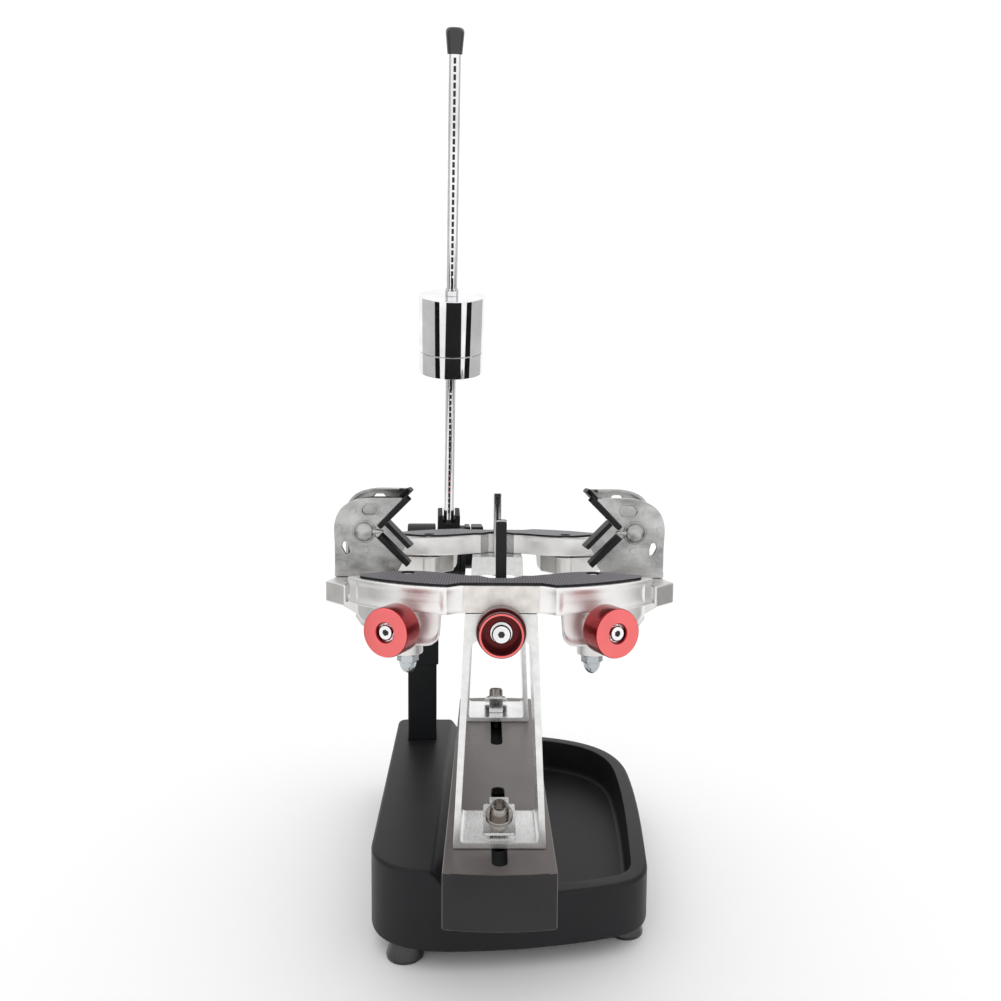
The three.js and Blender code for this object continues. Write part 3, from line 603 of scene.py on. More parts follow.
def add_turntable():
    half, length, wall, depth, edge = 45.0, 213.0, 4.0, 46.0, 1.1
    bottom = CHANNEL_TOP - depth
    shape = bmesh.new()
    corner = [2.2] + [0] * 13 + [2.2]
    outline = rounded(channel_outline(half, length, 4), corner + corner, 4)
    levels = [(wall, CHANNEL_TOP - wall), (wall, bottom + 0.5), (wall - 0.5, bottom), (0.5, bottom),
              (0, bottom + 0.5)] + round_over(edge, CHANNEL_TOP, 3)
    rings = [add_outline(shape, outline, z, inset) for inset, z in levels]
    skin(shape, rings)
    upper, lower = [rings[-1]], [rings[0]]
    for side in (-1, 1):
        slot = slot_outline(SLOT_HALF, *sorted((side * SLOT_START, side * SLOT_END)))[::-1]
        walls = [add_outline(shape, slot, z, inset)
                 for inset, z in ((0.4, CHANNEL_TOP), (0, CHANNEL_TOP - 0.4), (0, CHANNEL_TOP - wall))]
        skin(shape, walls)
        upper.append(walls[0])
        lower.append(walls[-1])
    fill(shape, upper)
    fill(shape, lower)
    # Faces that look along the channel, its ends, take the darker bronze as painted shade.
    build("channel_beam", shape, "pivot", "turntable", "bronze_anodised", "channel",
          by_normal=(1, 0.7, "bronze_painted_shade"))
    # A black plate inside the channel, which is not in the CAD: painted shade, which makes the slots read
    # black.
    inside = rounded(box_outline(-SHADE_X, SHADE_X, -SHADE_Y, SHADE_Y), 2)
    shade = plate(inside, SHADE_BOTTOM, SHADE_BOTTOM + 1, [disc(15.2)])
    build("channel_painted_shade", shade, "pivot", "turntable", "black_steel")
    bore, low, high = 14.3, 122.3, 149
    ring = [(bore, low), (39, low), (40, low + 1), (40, high - 1), (39, high), (bore, high), (bore, low)]
    build("turntable_bearing", lathe(ring, 72), "pivot", "turntable", "bright_casting", "turntable_disc")


# ---------- towers ----------
HEAD_BOTTOM, HEAD_TOP, PAD_TOP = 195.1, 217.4, 219.7
HEAD_FRONT, HEAD_NOSE, HEAD_BACK, HEAD_BULGE = -29.45, 8.2, 6.0, 22.0
BLOCK_HALF, NOTCH_HALF, NOTCH_MOUTH, NOTCH_BOTTOM = 32.5, 9.2, 18.5, -5.5
CASTING_END = (129.5, 11.0), (122.3, 1.5)      # end of a wing, back then front
PAD_END = (118.8, 10.0), (116.5, 1.0)
PIN, PIN_HOLE = (79.0, 19.5), 6.3


def wing_curve(fore, end, inset, steps):
    """The front edge of a wing in plan, from the flat block to the wing's end."""
    x, y = end
    return bezier((BLOCK_HALF + 10.5, fore - HEAD_NOSE), (x - 52, fore - 5), (x - 22, fore + 10),
                  (x - inset, y + inset), steps=steps)


def head_plan(inset, front_lip, wing_end):
    """Plan of the head: a flat front block, two swept wings and a notch at the back."""
    rear, fore = HEAD_BACK - inset, HEAD_FRONT + inset + front_lip
    bulge, hollow = rear + HEAD_BULGE, BLOCK_HALF - 6
    (back_x, back_y), (front_x, front_y) = wing_end
    front, back = (front_x - inset, front_y + inset), (back_x - inset, back_y)
    right = [(BLOCK_HALF, fore)] + wing_curve(fore, wing_end[1], inset, 28) + [front, back]
    right += bezier(back, (back_x - 16, back_y + 8), (PIN[0] + 14, bulge), (PIN[0], bulge), steps=12)[1:]
    right += bezier((PIN[0], bulge), (PIN[0] - 19, bulge), (BLOCK_HALF + 15, rear + HEAD_BULGE / 2),
                    (hollow, rear), steps=12)
    right += [(hollow, rear), (NOTCH_MOUTH + inset, rear), (NOTCH_HALF + inset, NOTCH_BOTTOM - inset)]
    return right + [(-x, y) for x, y in reversed(right)]


def ease(value):
    value = max(0.0, min(1.0, value))
    return value * value * (3 - 2 * value)


def head_body():
    """The casting under the pad: hollow faces, except on the flat block in the middle of the front."""
    plan = head_plan(1, 0, CASTING_END)
    hollow = [ease((abs(x) - BLOCK_HALF + 2) / 3) for x, y in plan]
    height = HEAD_TOP - HEAD_BOTTOM
    levels = [(1.0, 0.0), (0.3, 0.3), (0.0, 1.2), (0.0, 2.4), (0.5, 3.8), (1.0, 7.0), (1.2, height / 2),
              (1.0, height - 7), (0.5, height - 4.4), (0.0, height - 2.8), (0.0, height - 1.1),
              (0.3, height - 0.3), (1.0, height)]
    shape = bmesh.new()
    rings = []
    for depth, rise in levels:
        edge = 0.8 if rise in (0.0, height) else 0.0
        insets = [max(edge, depth * share) for share in hollow]
        rings.append(add_outline(shape, plan, HEAD_BOTTOM + rise, insets))
    skin(shape, rings)
    holes = []
    for side in (-1, 1):
        circle = disc(PIN_HOLE, side * PIN[0], PIN[1])[::-1]
        hole = [add_outline(shape, circle, z) for z in (HEAD_BOTTOM, HEAD_TOP)]
        bridge(shape, *hole)
        holes.append(hole)
    fill(shape, [rings[0]] + [hole[0] for hole in holes])
    fill(shape, [rings[-1]] + [hole[1] for hole in holes])
    return shape


def wing_face(side):
    """The front of a wing, drawn down into a wall round the side screw: hollow between two rims."""
    start, (end, end_y) = 45.5, CASTING_END[1]
    front = wing_curve(HEAD_FRONT + 1, (end, end_y), 1, 60)
    front = [point for point in front if start < point[0] < end - 1.2]
    lower = [(45, HEAD_BOTTOM), (48.5, HEAD_BOTTOM), (49, 180), (51, 174), (55, 170.5), (60, 169.4),
             (88, 169.4), (115, 178.8), (122, 186)]

    def low(x):
        for (x0, z0), (x1, z1) in zip(lower, lower[1:]):
            if x0 <= x <= x1:
                return z0 + (z1 - z0) * (x - x0) / (x1 - x0)
        return lower[-1][1]

    top = HEAD_TOP - 0.1
    shape = bmesh.new()
    columns = []
    for i, (x, y) in enumerate(front):
        a, b = Vector(front[max(i - 1, 0)]), Vector(front[min(i + 1, len(front) - 1)])
        along = (b - a).normalized()
        inward = Vector((-along.y, along.x))
        bottom = low(x)
        hollow = 1.1 * min(ease((x - start) / 4), ease((end - 1.2 - x) / 3))
        steps = [(1.0, top), (0.3, top - 0.3), (0.0, top - 1.1), (0.0, top - 3.0), (hollow * 0.6, top - 4.6),
                 (hollow, top - 8.0), (hollow, bottom + 7), (hollow * 0.6, bottom + 4), (0.0, bottom + 2.4),
                 (0.0, bottom + 0.8), (0.8, bottom), (5.2, bottom), (6.0, bottom + 0.8), (6.0, top - 0.5)]
        columns.append(add_ring(shape, [(side * (x + inward.x * d), y + inward.y * d, z) for d, z in steps]))
    skin(shape, columns)
    for end_ring in (columns[0], columns[-1]):
        shape.faces.new(end_ring)
    return shape


SPLAY = math.radians(24.5)
SCREW_AT = 89.5, -56.0, 185.5


def screw_point(side, distance):
    x, y, z = SCREW_AT
    return Vector((side * (x - math.sin(SPLAY) * distance), y + math.cos(SPLAY) * distance, z))


def screw_direction(side):
    return Vector((-side * math.sin(SPLAY), math.cos(SPLAY), 0))


def tower_body():
    foot, shoulder, height, wall, web = 38.0, 28.9, 194.8, 5.5, 21.1
    slope = (foot - shoulder) / height
    ceiling = height - web
    face = rounded([(-foot, GAP), (foot, GAP), (shoulder, height), (-shoulder, height)], 0.8, 2)
    low, high = foot - wall, foot - slope * ceiling - wall
    window = rounded([(-low, wall), (low, wall), (high, ceiling), (-high, ceiling)], [4, 4, 11, 11], 8)
    return slab(face, -29.5, 29.5, [window], bevel=0.45)


CLAMP_AT, CLAMP_TILT = (0, -4, 17), math.radians(25)
CLAMP_AXIS = aimed(CLAMP_AT, (0, -math.sin(CLAMP_TILT), math.cos(CLAMP_TILT)))


def clamp_bracket_shape():
    """A folded strip: its tilted top carries the bolt, its tab points down."""
    half, tab_half, front, shoulder, back = 13.5, 8.2, -19, 12, 19
    outline = [(-half, front), (half, front), (half, shoulder), (tab_half, shoulder), (tab_half, back),
               (-tab_half, back), (-tab_half, shoulder), (-half, shoulder)]
    top = plate(rounded(outline, [2, 2, 2, 1, 0.5, 0.5, 1, 2], 4), -2.5, 0, [disc(5.3)], 0.35)
    tab_y = CLAMP_AT[1] + back * math.cos(CLAMP_TILT)
    tab_top = CLAMP_AT[2] + back * math.sin(CLAMP_TILT) - 1
    tab = bar_box(-tab_half, tab_half, tab_y - 2.5, tab_y, 5.8, tab_top, 0.6, 0.3)
    return merged((top, shift(*CLAMP_AT) @ turn(CLAMP_TILT, "X")), tab)


def clamp_bolt_shape():
    washer = lathe([(5, 0.3), (11.3, 0.3), (11.7, 0.7), (11.7, 1.9), (11.3, 2.3), (8.4, 2.3), (8.4, 3.0),
                    (5, 3.0)])
    shank = lathe([(0, 2.5), (5, 2.5), (5, -16), (0, -16)], 32)
    head = socket_head(8, 10, 8, ribs=0.35)
    return merged((merged(washer, shank, (head, shift(0, 0, 2.3))), CLAMP_AXIS))


def clamp_nut_shape():
    """The end of the bolt and its nut, inside the channel."""
    return merged((lathe([(0, -16.1), (5, -16.1), (5, -27), (9, -27), (9, -35), (0, -35)], 32), CLAMP_AXIS))


def side_knob_shape():
    return lathe([
        (7.4, -5.2), (7.4, -1.2), (7.9, -0.3), (8.3, 0), (18.2, 0), (19.1, -0.35), (19.5, -1.3),
        (19.5, -19.6), (19.1, -20.6), (18.3, -21), (10, -21), (10, -24), (4.5, -24),
    ], 96)


def ribbed_ring(radius, height, ribs, depth, edge):
    """A straight-knurled ring with plain chamfers."""
    shape = bmesh.new()
    lower = [(radius - 6, 0, 0), (radius - edge, 0, 0), (radius, edge, depth)]
    levels = lower + [(size, height - z, groove) for size, z, groove in reversed(lower)]
    skin(shape, [add_circle(shape, size, z, ribs * 2, groove) for size, z, groove in levels])
    return shape


def centre_knob_shape():
    cup = lathe([
        (4.2, 0), (14, 0), (14, 9.8), (17.6, 10), (18, 10.5), (18, 19.3), (17.4, 20), (15.9, 20),
        (15.2, 19.4), (15, 18.5), (14.6, 9), (13.8, 8), (9, 8), (8.4, 8.2),
    ], 96)
    return merged(cup, ribbed_ring(20, 10, 84, 0.45, 0.7))


def button_head(radius):
    shares = [(0, 3.0), (0.45, 3.0), (0.5, 4.0), (0.75, 3.6), (0.95, 2.4), (1, 1.0), (1, 0)]
    return lathe([(radius * share, z) for share, z in shares], 36)


def acorn_nut():
    """Dome over a hexagon, drawn with its flat side up at z = 0."""
    count = 48
    shape = bmesh.new()
    sides = [(15.2, 0.0), (16.2, -0.6), (16.2, -5.6), (15.2, -6.4)]
    dome = [(7.4, -6.8), (7.2, -8.5), (6.6, -11), (5.2, -13.6), (3.4, -15.4), (1.5, -16.3)]
    rings = [add_outline(shape, hexagon(across, count), z) for across, z in sides]
    rings += [add_circle(shape, radius, z, count) for radius, z in dome]
    skin(shape, rings)
    fill(shape, [rings[-1]])
    fill(shape, [rings[0]])
    washer = lathe([(4, 0.1), (8.8, 0.1), (8.8, -1.2), (4, -1.2)], 40)
    return merged(shape, washer)


# ---------- side arms, drawn for the right side (+X) of the near tower ----------
VEE = (119.6, 246.2)                 # point of the V in x and z
VEE_Y, VEE_PLATE, VEE_DEPTH = 86.3, 4.0, 16.0
VEE_TOP, VEE_BOTTOM, VEE_OUTER, VEE_REACH = 277.7, 203.8, 153.5, 29.5
VEE_CORNER_X, VEE_CORNER_Z = 37.4, 31.3
BEAM_BOTTOM, BEAM_TOP, RAIL_BOTTOM, RAIL_TOP = 174.0, 194.0, 190.0, 208.0


def arm_shape():
    """A beam that runs out under the head, rises past its tip and turns back as a rail with a foot."""
    x, y = PIN
    back = VEE_Y + VEE_DEPTH
    rise_x, rise_run = 104, 30
    fall_from, fall = y + 21.5, math.tan(math.radians(5.7))
    hub = plate(disc(13, x, y, 48), 150.1, BEAM_TOP, [disc(4.3, x, y)], bevel=1.2, steps=3)
    lever = plate(rounded([(52, -3), (68, -8), (91, 13.5), (72, 30.5)], [4, 5, 4, 4]), BEAM_BOTTOM, BEAM_TOP,
                  bevel=1.6, steps=3)
    beam_plan = [(x - 3, y - 11), (rise_x, y - 5.5), (131.5, y + 0.5), (134, y + 1), (134, y + 16),
                 (rise_x, y + 15), (x + 4, y + 12)]
    beam = plate(rounded(beam_plan, [3, 0, 0.5, 0.5, 1, 0, 3]), BEAM_BOTTOM, BEAM_TOP, bevel=1.4, steps=3)
    for vertex in beam.verts:
        if vertex.co.z < BEAM_BOTTOM + 8:
            vertex.co.z += max(0.0, vertex.co.x - rise_x) * (RAIL_BOTTOM - BEAM_BOTTOM) / rise_run
    rail_plan = [(131.5, y + 0.5), (134, y + 1), (152.8, y + 21.5), (152.8, back), (136.5, back),
                 (136.5, y + 24), (131.5, y + 14)]
    rail = plate(rounded(rail_plan, [1, 3, 5, 2, 2, 4, 3]), RAIL_BOTTOM, RAIL_TOP, bevel=1.4, steps=3)
    for vertex in rail.verts:
        if vertex.co.z > RAIL_TOP - 5:
            slope = max(0.0, vertex.co.y - fall_from) * fall
            limit = VEE_BOTTOM - 0.4 if vertex.co.y > VEE_Y - 6 else RAIL_TOP
            vertex.co.z = min(vertex.co.z - slope, limit)
    foot = bar_box(118.5, 152.8, 83.3, back, VEE_BOTTOM - 8, VEE_BOTTOM - 0.4, 1.5, 0.8)
    return merged(hub, lever, beam, rail, foot)


def vee_corner(inset=0.0):
    """The control points of the plate's round upper corner."""
    outer, top = VEE_OUTER - inset, VEE_TOP - inset
    return (outer, VEE_TOP - VEE_CORNER_Z), (outer, top), (VEE_OUTER - VEE_CORNER_X, top)


def vee_outline():
    x, z = VEE
    inner = x - VEE_REACH
    points = [(x, z), (inner, z - VEE_REACH), (inner + 5, VEE_BOTTOM + 4), (inner + 9, VEE_BOTTOM),
              (VEE_OUTER, VEE_BOTTOM)]
    points = rounded(points, [1.2, 1.5, 2, 2, 1.5], 6) + bezier(*vee_corner(), steps=20)
    return points + [(VEE_OUTER - VEE_CORNER_X, VEE_TOP), (inner + 0.6, VEE_TOP), (inner, VEE_TOP - 0.6),
                     (inner, z + VEE_REACH)]


def vee_flange():
    """The rim that runs round the outer side of the plate's back."""
    left, rim = VEE[0] - VEE_REACH, 3.0
    outer = [(VEE_OUTER, VEE_BOTTOM)] + bezier(*vee_corner(), steps=20) + [(left + 5, VEE_TOP)]
    inner = [(left + 5, VEE_TOP - rim)] + bezier(*reversed(vee_corner(rim)), steps=20)
    return outer + inner + [(VEE_OUTER - rim, VEE_BOTTOM + rim), (left + 9, VEE_BOTTOM + rim),
                            (left + 9, VEE_BOTTOM)]


def vee_shape():
    """Die-cast plate: V notch, flange round its outer side, dome, key hole, upper opening, ejector marks."""
    x, z = VEE
    y, back = VEE_Y, VEE_Y + VEE_PLATE
    key = [(x + 19.2, z - 19), (x + 20.5, z - 21.8), (x + 23.5, z - 20.5), (x + 26.8, z - 14),
           (x + 25.5, z - 9.6), (x + 21.5, z - 9.6)]
    upper = [(x - 8, z + 20.5), (x - 5, z + 16), (x + 6, z + 16), (x + 8.5, z + 20), (x + 4, z + 25),
             (x - 5, z + 25)]
    face = slab(vee_outline(), y, back, [rounded(key, 2.2), rounded(upper, 3.4)], bevel=0.7)
    lip = [(ux + (x - ux) * -0.22, uz + (z + 20.5 - uz) * -0.22) for ux, uz in upper]
    collar = slab(rounded(lip, 4.2), y - 1.1, y + 0.5, [rounded(upper, 3.4)], bevel=0.5)
    flange = slab(vee_flange(), back - 0.3, y + VEE_DEPTH, bevel=0.7)
    rib = slab(rounded(box_outline(x + 6, x + 33, z - 2, z + 2), 0.8), back - 0.3, y + 10)
    seam = slab(box_outline(x - 17, VEE_OUTER - 0.7, VEE_BOTTOM + 0.5, VEE_BOTTOM + 5.2), y - 0.9, y + 0.5,
                bevel=0.35)
    dome = lathe([(10.9, -0.2), (10.8, 0.5), (10.2, 1.2), (9.4, 1.3), (8.8, 2.2), (7.9, 3.7), (6.3, 5.2),
                  (4.0, 6.2), (1.8, 6.7), (0, 6.8)], 48)
    marks = []
    for dx, dz in ((16, 19.5), (24.8, -30), (-18.5, -30), (4.5, -17), (29, 3)):
        mark = lathe([(0, 0.12), (2.5, 0.12), (2.7, 0.3), (3.2, 0.3), (3.4, 0), (3.4, -0.3)], 24)
        marks.append((mark, aimed((x + dx, y, z + dz), TO_USER)))
    nib_plan = [(x - 11.5, z - 1.2), (x + 3, z - 2.4), (x + 3, z + 2.4), (x - 11.5, z + 1.2)]
    nib = slab(rounded(nib_plan, 1.1), y - 3, back, bevel=0.8)
    return merged(face, collar, flange, rib, seam, nib, (dome, aimed((x + 5.9, y, z), TO_USER)), *marks)


def vee_pad_shape(up):
    """A rubber block along one flank of the V, with rounded edges and a shallow moulded line."""
    thickness, width, start, length, front = 5.0, 18.0, 8.3, 38.5, VEE_Y - 3
    along, across = Vector((-1, up)).normalized(), Vector((-1, -up)).normalized()

    def outline(s0, s1, t0, t1):
        return [tuple(Vector(VEE) + along * s + across * t) for s, t in box_outline(s0, s1, t0, t1)]

    block = slab(rounded(outline(start, start + length, GAP, GAP + thickness), 1.1, 4), front, front + width,
                 bevel=0.9)
    line = slab(rounded(outline(start + 4, start + length - 4, 2.2, 3.4), 0.5, 3), VEE_Y - 3.25, VEE_Y - 2.8,
                bevel=0.1)
    return merged(block, line)


def add_tower_body(end, place):
    body = f"{end}_tower"
    build(f"{end}_extrusion", tower_body(), place, body, "mill_aluminium", f"{end}_tower_frame",
          by_normal=(1, 0.9, "sawn_aluminium"))
    barrels = [
        (lathe([(4.4, 0), (9.8, 0), (11, 1.0), (11, 17), (4.4, 17)], 40),
         aimed(screw_point(side, 27), screw_direction(side))) for side in (-1, 1)
    ]
    build(f"{end}_head_casting", merged(head_body(), wing_face(1), wing_face(-1), *barrels), place, body,
          "bright_casting", f"{end}_tower_head", sharp=38)
    milled = box_outline(-30.2, 30.2, HEAD_BOTTOM + 0.3, HEAD_TOP - 0.3)
    build(f"{end}_head_block", slab(milled, -29.3, -28.3, bevel=0.15), place, body, "milled_casting")
    holes = [disc(PIN_HOLE, side * PIN[0], PIN[1]) for side in (-1, 1)]
    pad = plate(head_plan(0, 2, PAD_END), HEAD_TOP + GAP, PAD_TOP, holes, 0.5)
    # Faces that look forward or back take the black rubber: a painted shadow line along the edge of the pad.
    build(f"{end}_grid_pad", pad, place, body, "grid_rubber", f"{end}_top_pad",
          by_normal=(1, 0.5, "black_rubber"))
    build(f"{end}_bracket", clamp_bracket_shape(), place, body, "zinc_plate", f"{end}_clamp_bracket")
    build(f"{end}_bolt", clamp_bolt_shape(), place, body, "bolt_steel", f"{end}_clamp_bolt")
    build(f"{end}_bolt_nut", clamp_nut_shape(), place, body, "black_steel")


def add_upright(end, place):
    """The centre support: a post on a carriage inside the tower, with a rubber pad on its front."""
    half = 4.5
    body = f"{end}_support"
    post = bar_box(-half, half, 1, 9, 194, 266.5, 2.2, 0.8)
    groove = bar_box(-1.3, 1.3, 8.4, 9.15, 220, 262, 0.3, 0.1)
    carriage = bar_box(-6, 6, -7, 17, 175, 194.5, 1.0, 0.6)
    build(f"{end}_upright", merged(post, carriage), place, body, "bare_steel", f"{end}_centre_post")
    build(f"{end}_upright_line", groove, place, body, "ink")
    outline = rounded(box_outline(-half, half, -2.5, 0.7), [2, 2, 0.6, 0.6], 5)
    pad = plate(outline, 213, 265.5, bevel=1.5, steps=4)
    build(f"{end}_upright_pad", pad, place, body, "black_rubber", f"{end}_support_pad")


def add_front_knob(end, place):
    place = place @ aimed((0, -30.4, 182), TO_USER)
    body = f"{end}_centre_knob"
    # The centre knob takes the dark red as painted shade in its hollow cup, and its front ring takes the
    # bright red as painted reflection.
    build(f"{end}_front_knob", centre_knob_shape(), place, body, "red_painted_shade", body, sharp=50,
          facing="red_painted_reflection")
    screw = lathe([(0, -54), (3.2, -54), (4, -53), (4, 8.2), (9, 8.2)], 32)
    washer = lathe([(4, 8.1), (8.6, 8.1), (9, 8.5), (9, 9.2), (8.6, 9.6), (4, 9.6)], 48)
    head = socket_head(7.6, 6.4, 5), shift(0, 0, 9.6)
    build(f"{end}_front_knob_screw", merged(screw, washer, head), place, body, "chrome")
    # A black hexagon set in the socket: painted shade of the recess.
    socket = plate(hexagon(5.4, 48), 14.0, 14.9, bevel=0.1)
    build(f"{end}_front_knob_socket", socket, place, body, "socket_painted_shade")


def add_side_knob(name, place):
    body = f"{name}_knob"
    # The front face takes the bright red as painted reflection.
    build(f"{name}_grip", side_knob_shape(), place, body, "red_anodised", body, sharp=50, facing="red_painted_reflection")
    cap = lathe([(5, -5.6), (7.3, -5.6), (7.3, -5)], 40)
    head = socket_head(5.9, 5.2, 4.6), shift(0, 0, -5.6)
    build(f"{name}_grip_screw", merged(cap, head), place, body, "chrome")
    # A black hexagon set in the socket: painted shade of the recess.
    socket = plate(hexagon(4.4, 48), -4.2, -2.6, bevel=0.1)
    build(f"{name}_grip_socket", socket, place, body, "socket_painted_shade")
    step, count = 0.6, 69
    thread = [(3.3 if k % 2 else 4.0, -65 + k * step) for k in range(count)]
    screw = lathe([(0, -66)] + thread + [(4, -23)], 28)
    build(f"{name}_lead_screw", screw, place, body, "threaded_black", sharp=60)


def add_side(end, side, place):
    """One side of a tower: pivot bolt, arm with its V plate and pads, and the knob that drives it."""
    hand = "right" if (side > 0) == (end == "near") else "left"
    name = f"{end}_{hand}"
    opening = shift(*PIN, 0) @ turn(-OPENED[end], "Z") @ shift(-PIN[0], -PIN[1], 0)
    swung = place @ Matrix.Diagonal((side, 1, 1, 1)) @ opening
    pin = merged((acorn_nut(), shift(0, 0, 149.4)), lathe([(4, 148), (4, 212)], 32),
                 (button_head(6), shift(0, 0, HEAD_TOP - 5.7)))
    build(f"{name}_pin", pin, place @ shift(side * PIN[0], PIN[1], 0), f"{end}_tower", "nut_chrome",
          f"{name}_pivot_bolt", sharp=28)
    arm = f"{name}_arm"
    build(f"{name}_lever", arm_shape(), swung, arm, "satin_casting", arm)
    build(f"{name}_vee", vee_shape(), swung, arm, "grey_casting", f"{name}_vee_plate")
    for up, node in ((1, "upper_pad"), (-1, "lower_pad")):
        build(f"{name}_{node}_block", vee_pad_shape(up), swung, arm, "black_rubber", f"{name}_{node}")
    add_side_knob(name, place @ aimed(screw_point(side, 0), -screw_direction(side)))


def add_tower(end):
    place = PLACE[end]
    add_tower_body(end, place)
    add_upright(end, place)
    add_front_knob(end, place)
    for side in (1, -1):
        add_side(end, side, place)


# ---------- tension head ----------
CHEEK_LEFT, CHEEK_RIGHT, AXLE_BORE = -56, -17.7, 9.3
ROD_RADIUS, ROD_BORE = 7.0, 7.3


def rim_profile(radius, z0, z1, edge, bore):
    """Profile of a disc or ring with eased rims."""
    soft = edge * 0.3
    return [(bore, z0), (radius - edge, z0), (radius - soft, z0 + soft), (radius, z0 + edge),
            (radius, z1 - edge), (radius - soft, z1 - soft), (radius - edge, z1), (bore, z1)]


def wheel(radius, x0, x1, edge=1.0, bore=0.0):
    return lathe(rim_profile(radius, 0, x1 - x0, edge, bore), 80), aimed((x0, 0, 0), (1, 0, 0))


def add_tension_post():
    left, front, width, depth, wall = -121 - TENSION.x, 282.5 - TENSION.y, 38.5, 44.0, 2.5
    right, back, lap = left + width, front + depth, 2.4
    bottom, top = PLATFORM + GAP - TENSION.z, 306 - TENSION.z
    outer = rounded(box_outline(left, right, front, back), 2.5, 4)
    inner = rounded(box_outline(left + wall, right - wall, front + wall, back - wall), 1.2, 2)
    build("tension_post", plate(outer, bottom, top, [inner], 0.5), "head", "base", "black_steel", "head_post")
    sleeve = bar_box(left - lap, right + lap, front - lap, back + lap, 203.7 - TENSION.z, top + 2, 2.5, 1)
    neck = bar_box(CHEEK_LEFT, CHEEK_RIGHT, front + 8, 30, top + 1, 0, 3, 1)
    cheek = wheel(39, CHEEK_LEFT, CHEEK_RIGHT, 1.6, AXLE_BORE)
    hub = wheel(17, CHEEK_LEFT - 2.5, CHEEK_LEFT + 0.5)
    build("tension_housing", merged(sleeve, neck, cheek, hub), "head", "base", "black_steel", "head_housing")


def add_gripper():
    drum = merged(wheel(9, CHEEK_LEFT + 9, 16.5, 0.8), wheel(36.2, 15.8, 22.8), wheel(24, 21.8, 51.3))
    build("string_drum", drum, "head", "gripper", "black_steel", "gripper_drum")
    for node, x0, x1, body in (("fixed_jaw", 23.1, 29.8, "gripper"), ("sliding_jaw", 32.3, 47.3, "jaw")):
        jaw = bar_box(x0, x1, -20, 20, 24.5, 36.2, 2.0, 0.7)
        build(node + "_plate", jaw, "head", body, "black_steel", node)


def add_bar():
    half, fork_top, notch, notch_depth = 15.0, 61.3, 8.5, 12
    notch_bottom = fork_top - notch_depth
    outline = [(-half, 0), (half, 0), (half, fork_top), (notch, fork_top), (notch, notch_bottom),
               (-notch, notch_bottom), (-notch, fork_top), (-half, fork_top)]
    fork = slab(rounded(outline, [2, 2, 2.2, 0.8, 2.5, 2.5, 0.8, 2.2], 4), -13, 13, bevel=0.8)
    hub = wheel(36, -half, half, 1.4, AXLE_BORE)
    screws = [(socket_head(3.5, 2.2, 3), aimed((0, -12.9, z), TO_USER)) for z in (18, 41)]
    build("rod_fork", merged(fork, hub, *screws), "bar", "bar", "black_plastic", "rod_holder")
    rod = lathe([(0, 26), (ROD_RADIUS, 26), (ROD_RADIUS, 636), (0, 636)])
    build("tension_rod", rod, "bar", "bar", "chrome", "drop_rod")
    build("rod_scale", scale_marks(), "bar", "bar", "ink", weighted=False)
    cap = lathe([(7.2, 614), (8.0, 613.9), (8.4, 614.4), (9.4, 625), (10.3, 634), (10.2, 636.6), (9.2, 638.6),
                 (7, 639.8), (3, 640), (0, 640)])
    build("rod_end_cap", cap, "bar", "bar", "gloss_black_cap", "rod_cap", sharp=60)


def add_weights():
    bottom, small, height = 259.3, 27.0, 94.5
    lower = weight_ring(40.4, bottom, bottom + small)
    build("lower_weight", lower, "bar", "weight", "chrome", "small_weight")
    upper = weight_ring(40.8, bottom + small + GAP, bottom + height)
    build("upper_weight", upper, "bar", "weight", "chrome", "main_weight")
    low = bottom + height + GAP
    clip = lathe([(ROD_BORE, low), (8.2, low), (8.4, low + 0.3), (8.4, low + 5.6), (8.6, low + 5.9),
                  (8.6, low + 7.7), (8.4, low + 8), (ROD_BORE, low + 8), (ROD_BORE, low)], 48)
    build("weight_clip", clip, "bar", "weight", "chrome", "weight_collar")


def weight_ring(radius, z0, z1):
    profile = rim_profile(radius, z0, z1, 0.7, ROD_BORE)
    return lathe(profile + profile[:1], 160)


def scale_marks():
    """Engraved dashes along the user's side of the rod."""
    shape = bmesh.new()
    radius, start, pitch, dash, count, half_angle = ROD_RADIUS + 0.02, 62, 8.1, 6.0, 68, 12.0
    angles = [math.radians(-90 + half_angle * t) for t in (-1, -0.33, 0.33, 1)]
    for k in range(count):
        bottom = start + k * pitch
        low, high = (add_ring(shape, [(radius * math.cos(a), radius * math.sin(a), z) for a in angles])
                     for z in (bottom, bottom + dash))
        for i in range(len(angles) - 1):
            shape.faces.new((low[i], low[i + 1], high[i + 1], high[i]))
    return shape


add_base()
add_turntable()
for end in TOWER_Y:
    add_tower(end)
add_tension_post()
add_gripper()
add_bar()
add_weights()


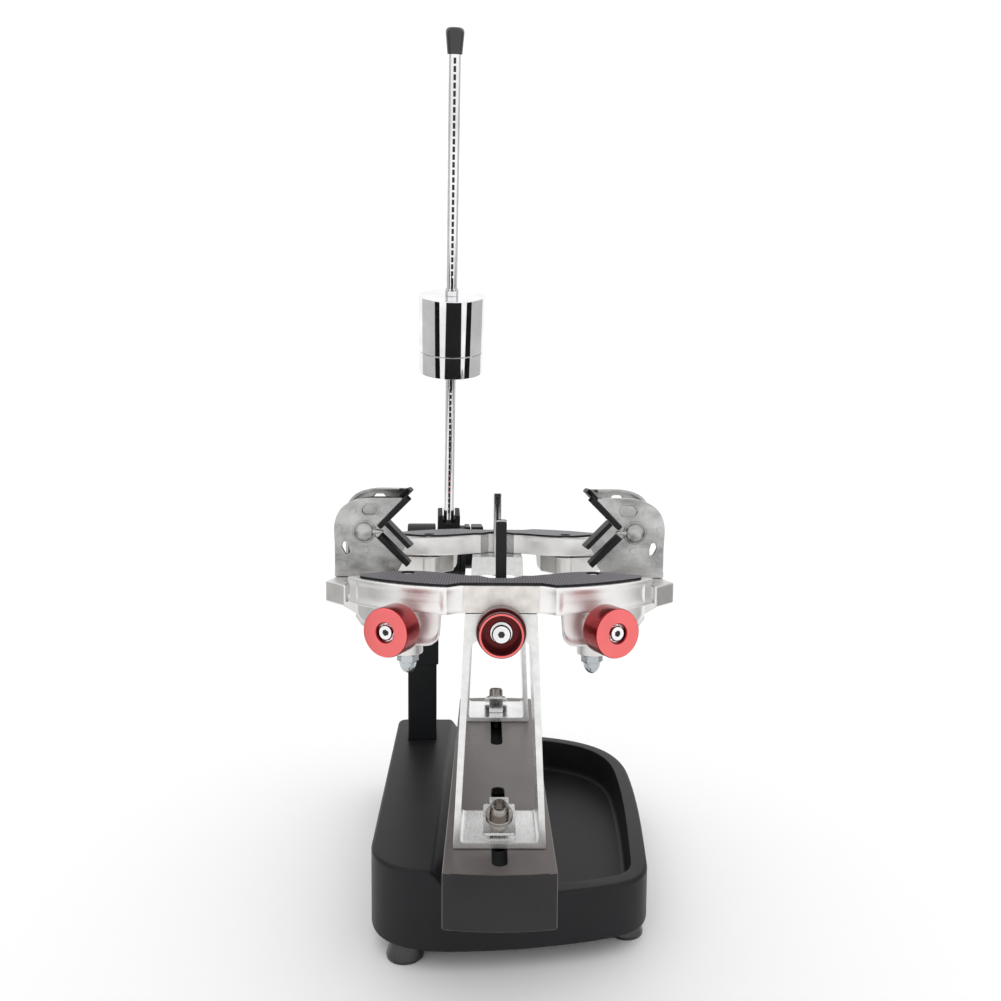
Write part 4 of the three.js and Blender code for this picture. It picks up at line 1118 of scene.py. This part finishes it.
# ---------- stage ----------
# Cards that stand along the swinging bar. Each has a name, the range of azimuth in degrees that it spans as
# seen from the bar, its distance in mm, its height in metres and its grey level.
FLAGS = (
    ("flag_middle", -20, 31, 260.0, 0.17, 0.02),
    ("flag_left", -58, -41, 900.0, 0.34, 0.01),
    ("flag_right", 49, 68, 900.0, 0.34, 0.01),
    ("grey_left", -118, -59, 900.0, 1.6, 0.55),
    ("grey_right", 69, 128, 900.0, 1.6, 0.55),
)


def matt(name, shade):
    """A plain grey stage material and its shader."""
    material = bpy.data.materials.new(name)
    material.use_nodes = True
    shader = material.node_tree.nodes["Principled BSDF"]
    shader.inputs["Base Color"].default_value = (shade, shade, shade, 1)
    return material, shader


def add_flag(name, centre, size, target, shade):
    """A card that shows only in reflections, and puts crisp bands on the polished pieces."""
    bpy.ops.mesh.primitive_plane_add(size=1)
    panel = bpy.context.object
    panel.name = name
    spin = (target - centre).to_track_quat("Z", "Y").to_matrix().to_4x4()
    panel.matrix_world = Matrix.Translation(centre) @ spin @ Matrix.Diagonal((*size, 1, 1))
    material, shader = matt(name, shade)
    shader.inputs["Roughness"].default_value = 1.0
    shader.inputs["Specular IOR Level"].default_value = 0.0
    panel.data.materials.append(material)
    panel.visible_camera = False
    panel.visible_diffuse = False
    panel.visible_shadow = False


def add_stage():
    world = bpy.data.worlds.new("studio")
    world.use_nodes = True
    background = world.node_tree.nodes["Background"]
    background.inputs["Color"].default_value = (1, 1, 1, 1)
    background.inputs["Strength"].default_value = WORLD_STRENGTH
    bpy.context.scene.world = world
    bpy.context.scene.view_settings.view_transform = "Standard"

    bpy.ops.mesh.primitive_plane_add(size=30)
    floor = bpy.context.object
    floor.name = "floor"
    material, shader = matt("floor", FLOOR_GREY)
    shader.inputs["Roughness"].default_value = 0.9
    floor.data.materials.append(material)

    bar = PLACE["bar"]
    target = bar @ Vector((0, 0, FLAG_HEIGHT))
    for name, low, high, distance, length, shade in FLAGS:
        azimuth = math.radians((low + high) / 2)
        width = 2 * distance * math.tan(math.radians((high - low) / 2)) * MM
        away = Vector((distance * math.sin(azimuth), -distance * math.cos(azimuth), FLAG_HEIGHT))
        centre = bar @ (away - Vector((0, 0, FLAG_FALL * distance)))
        add_flag(name, centre, (width, length), target, shade)


add_stage()
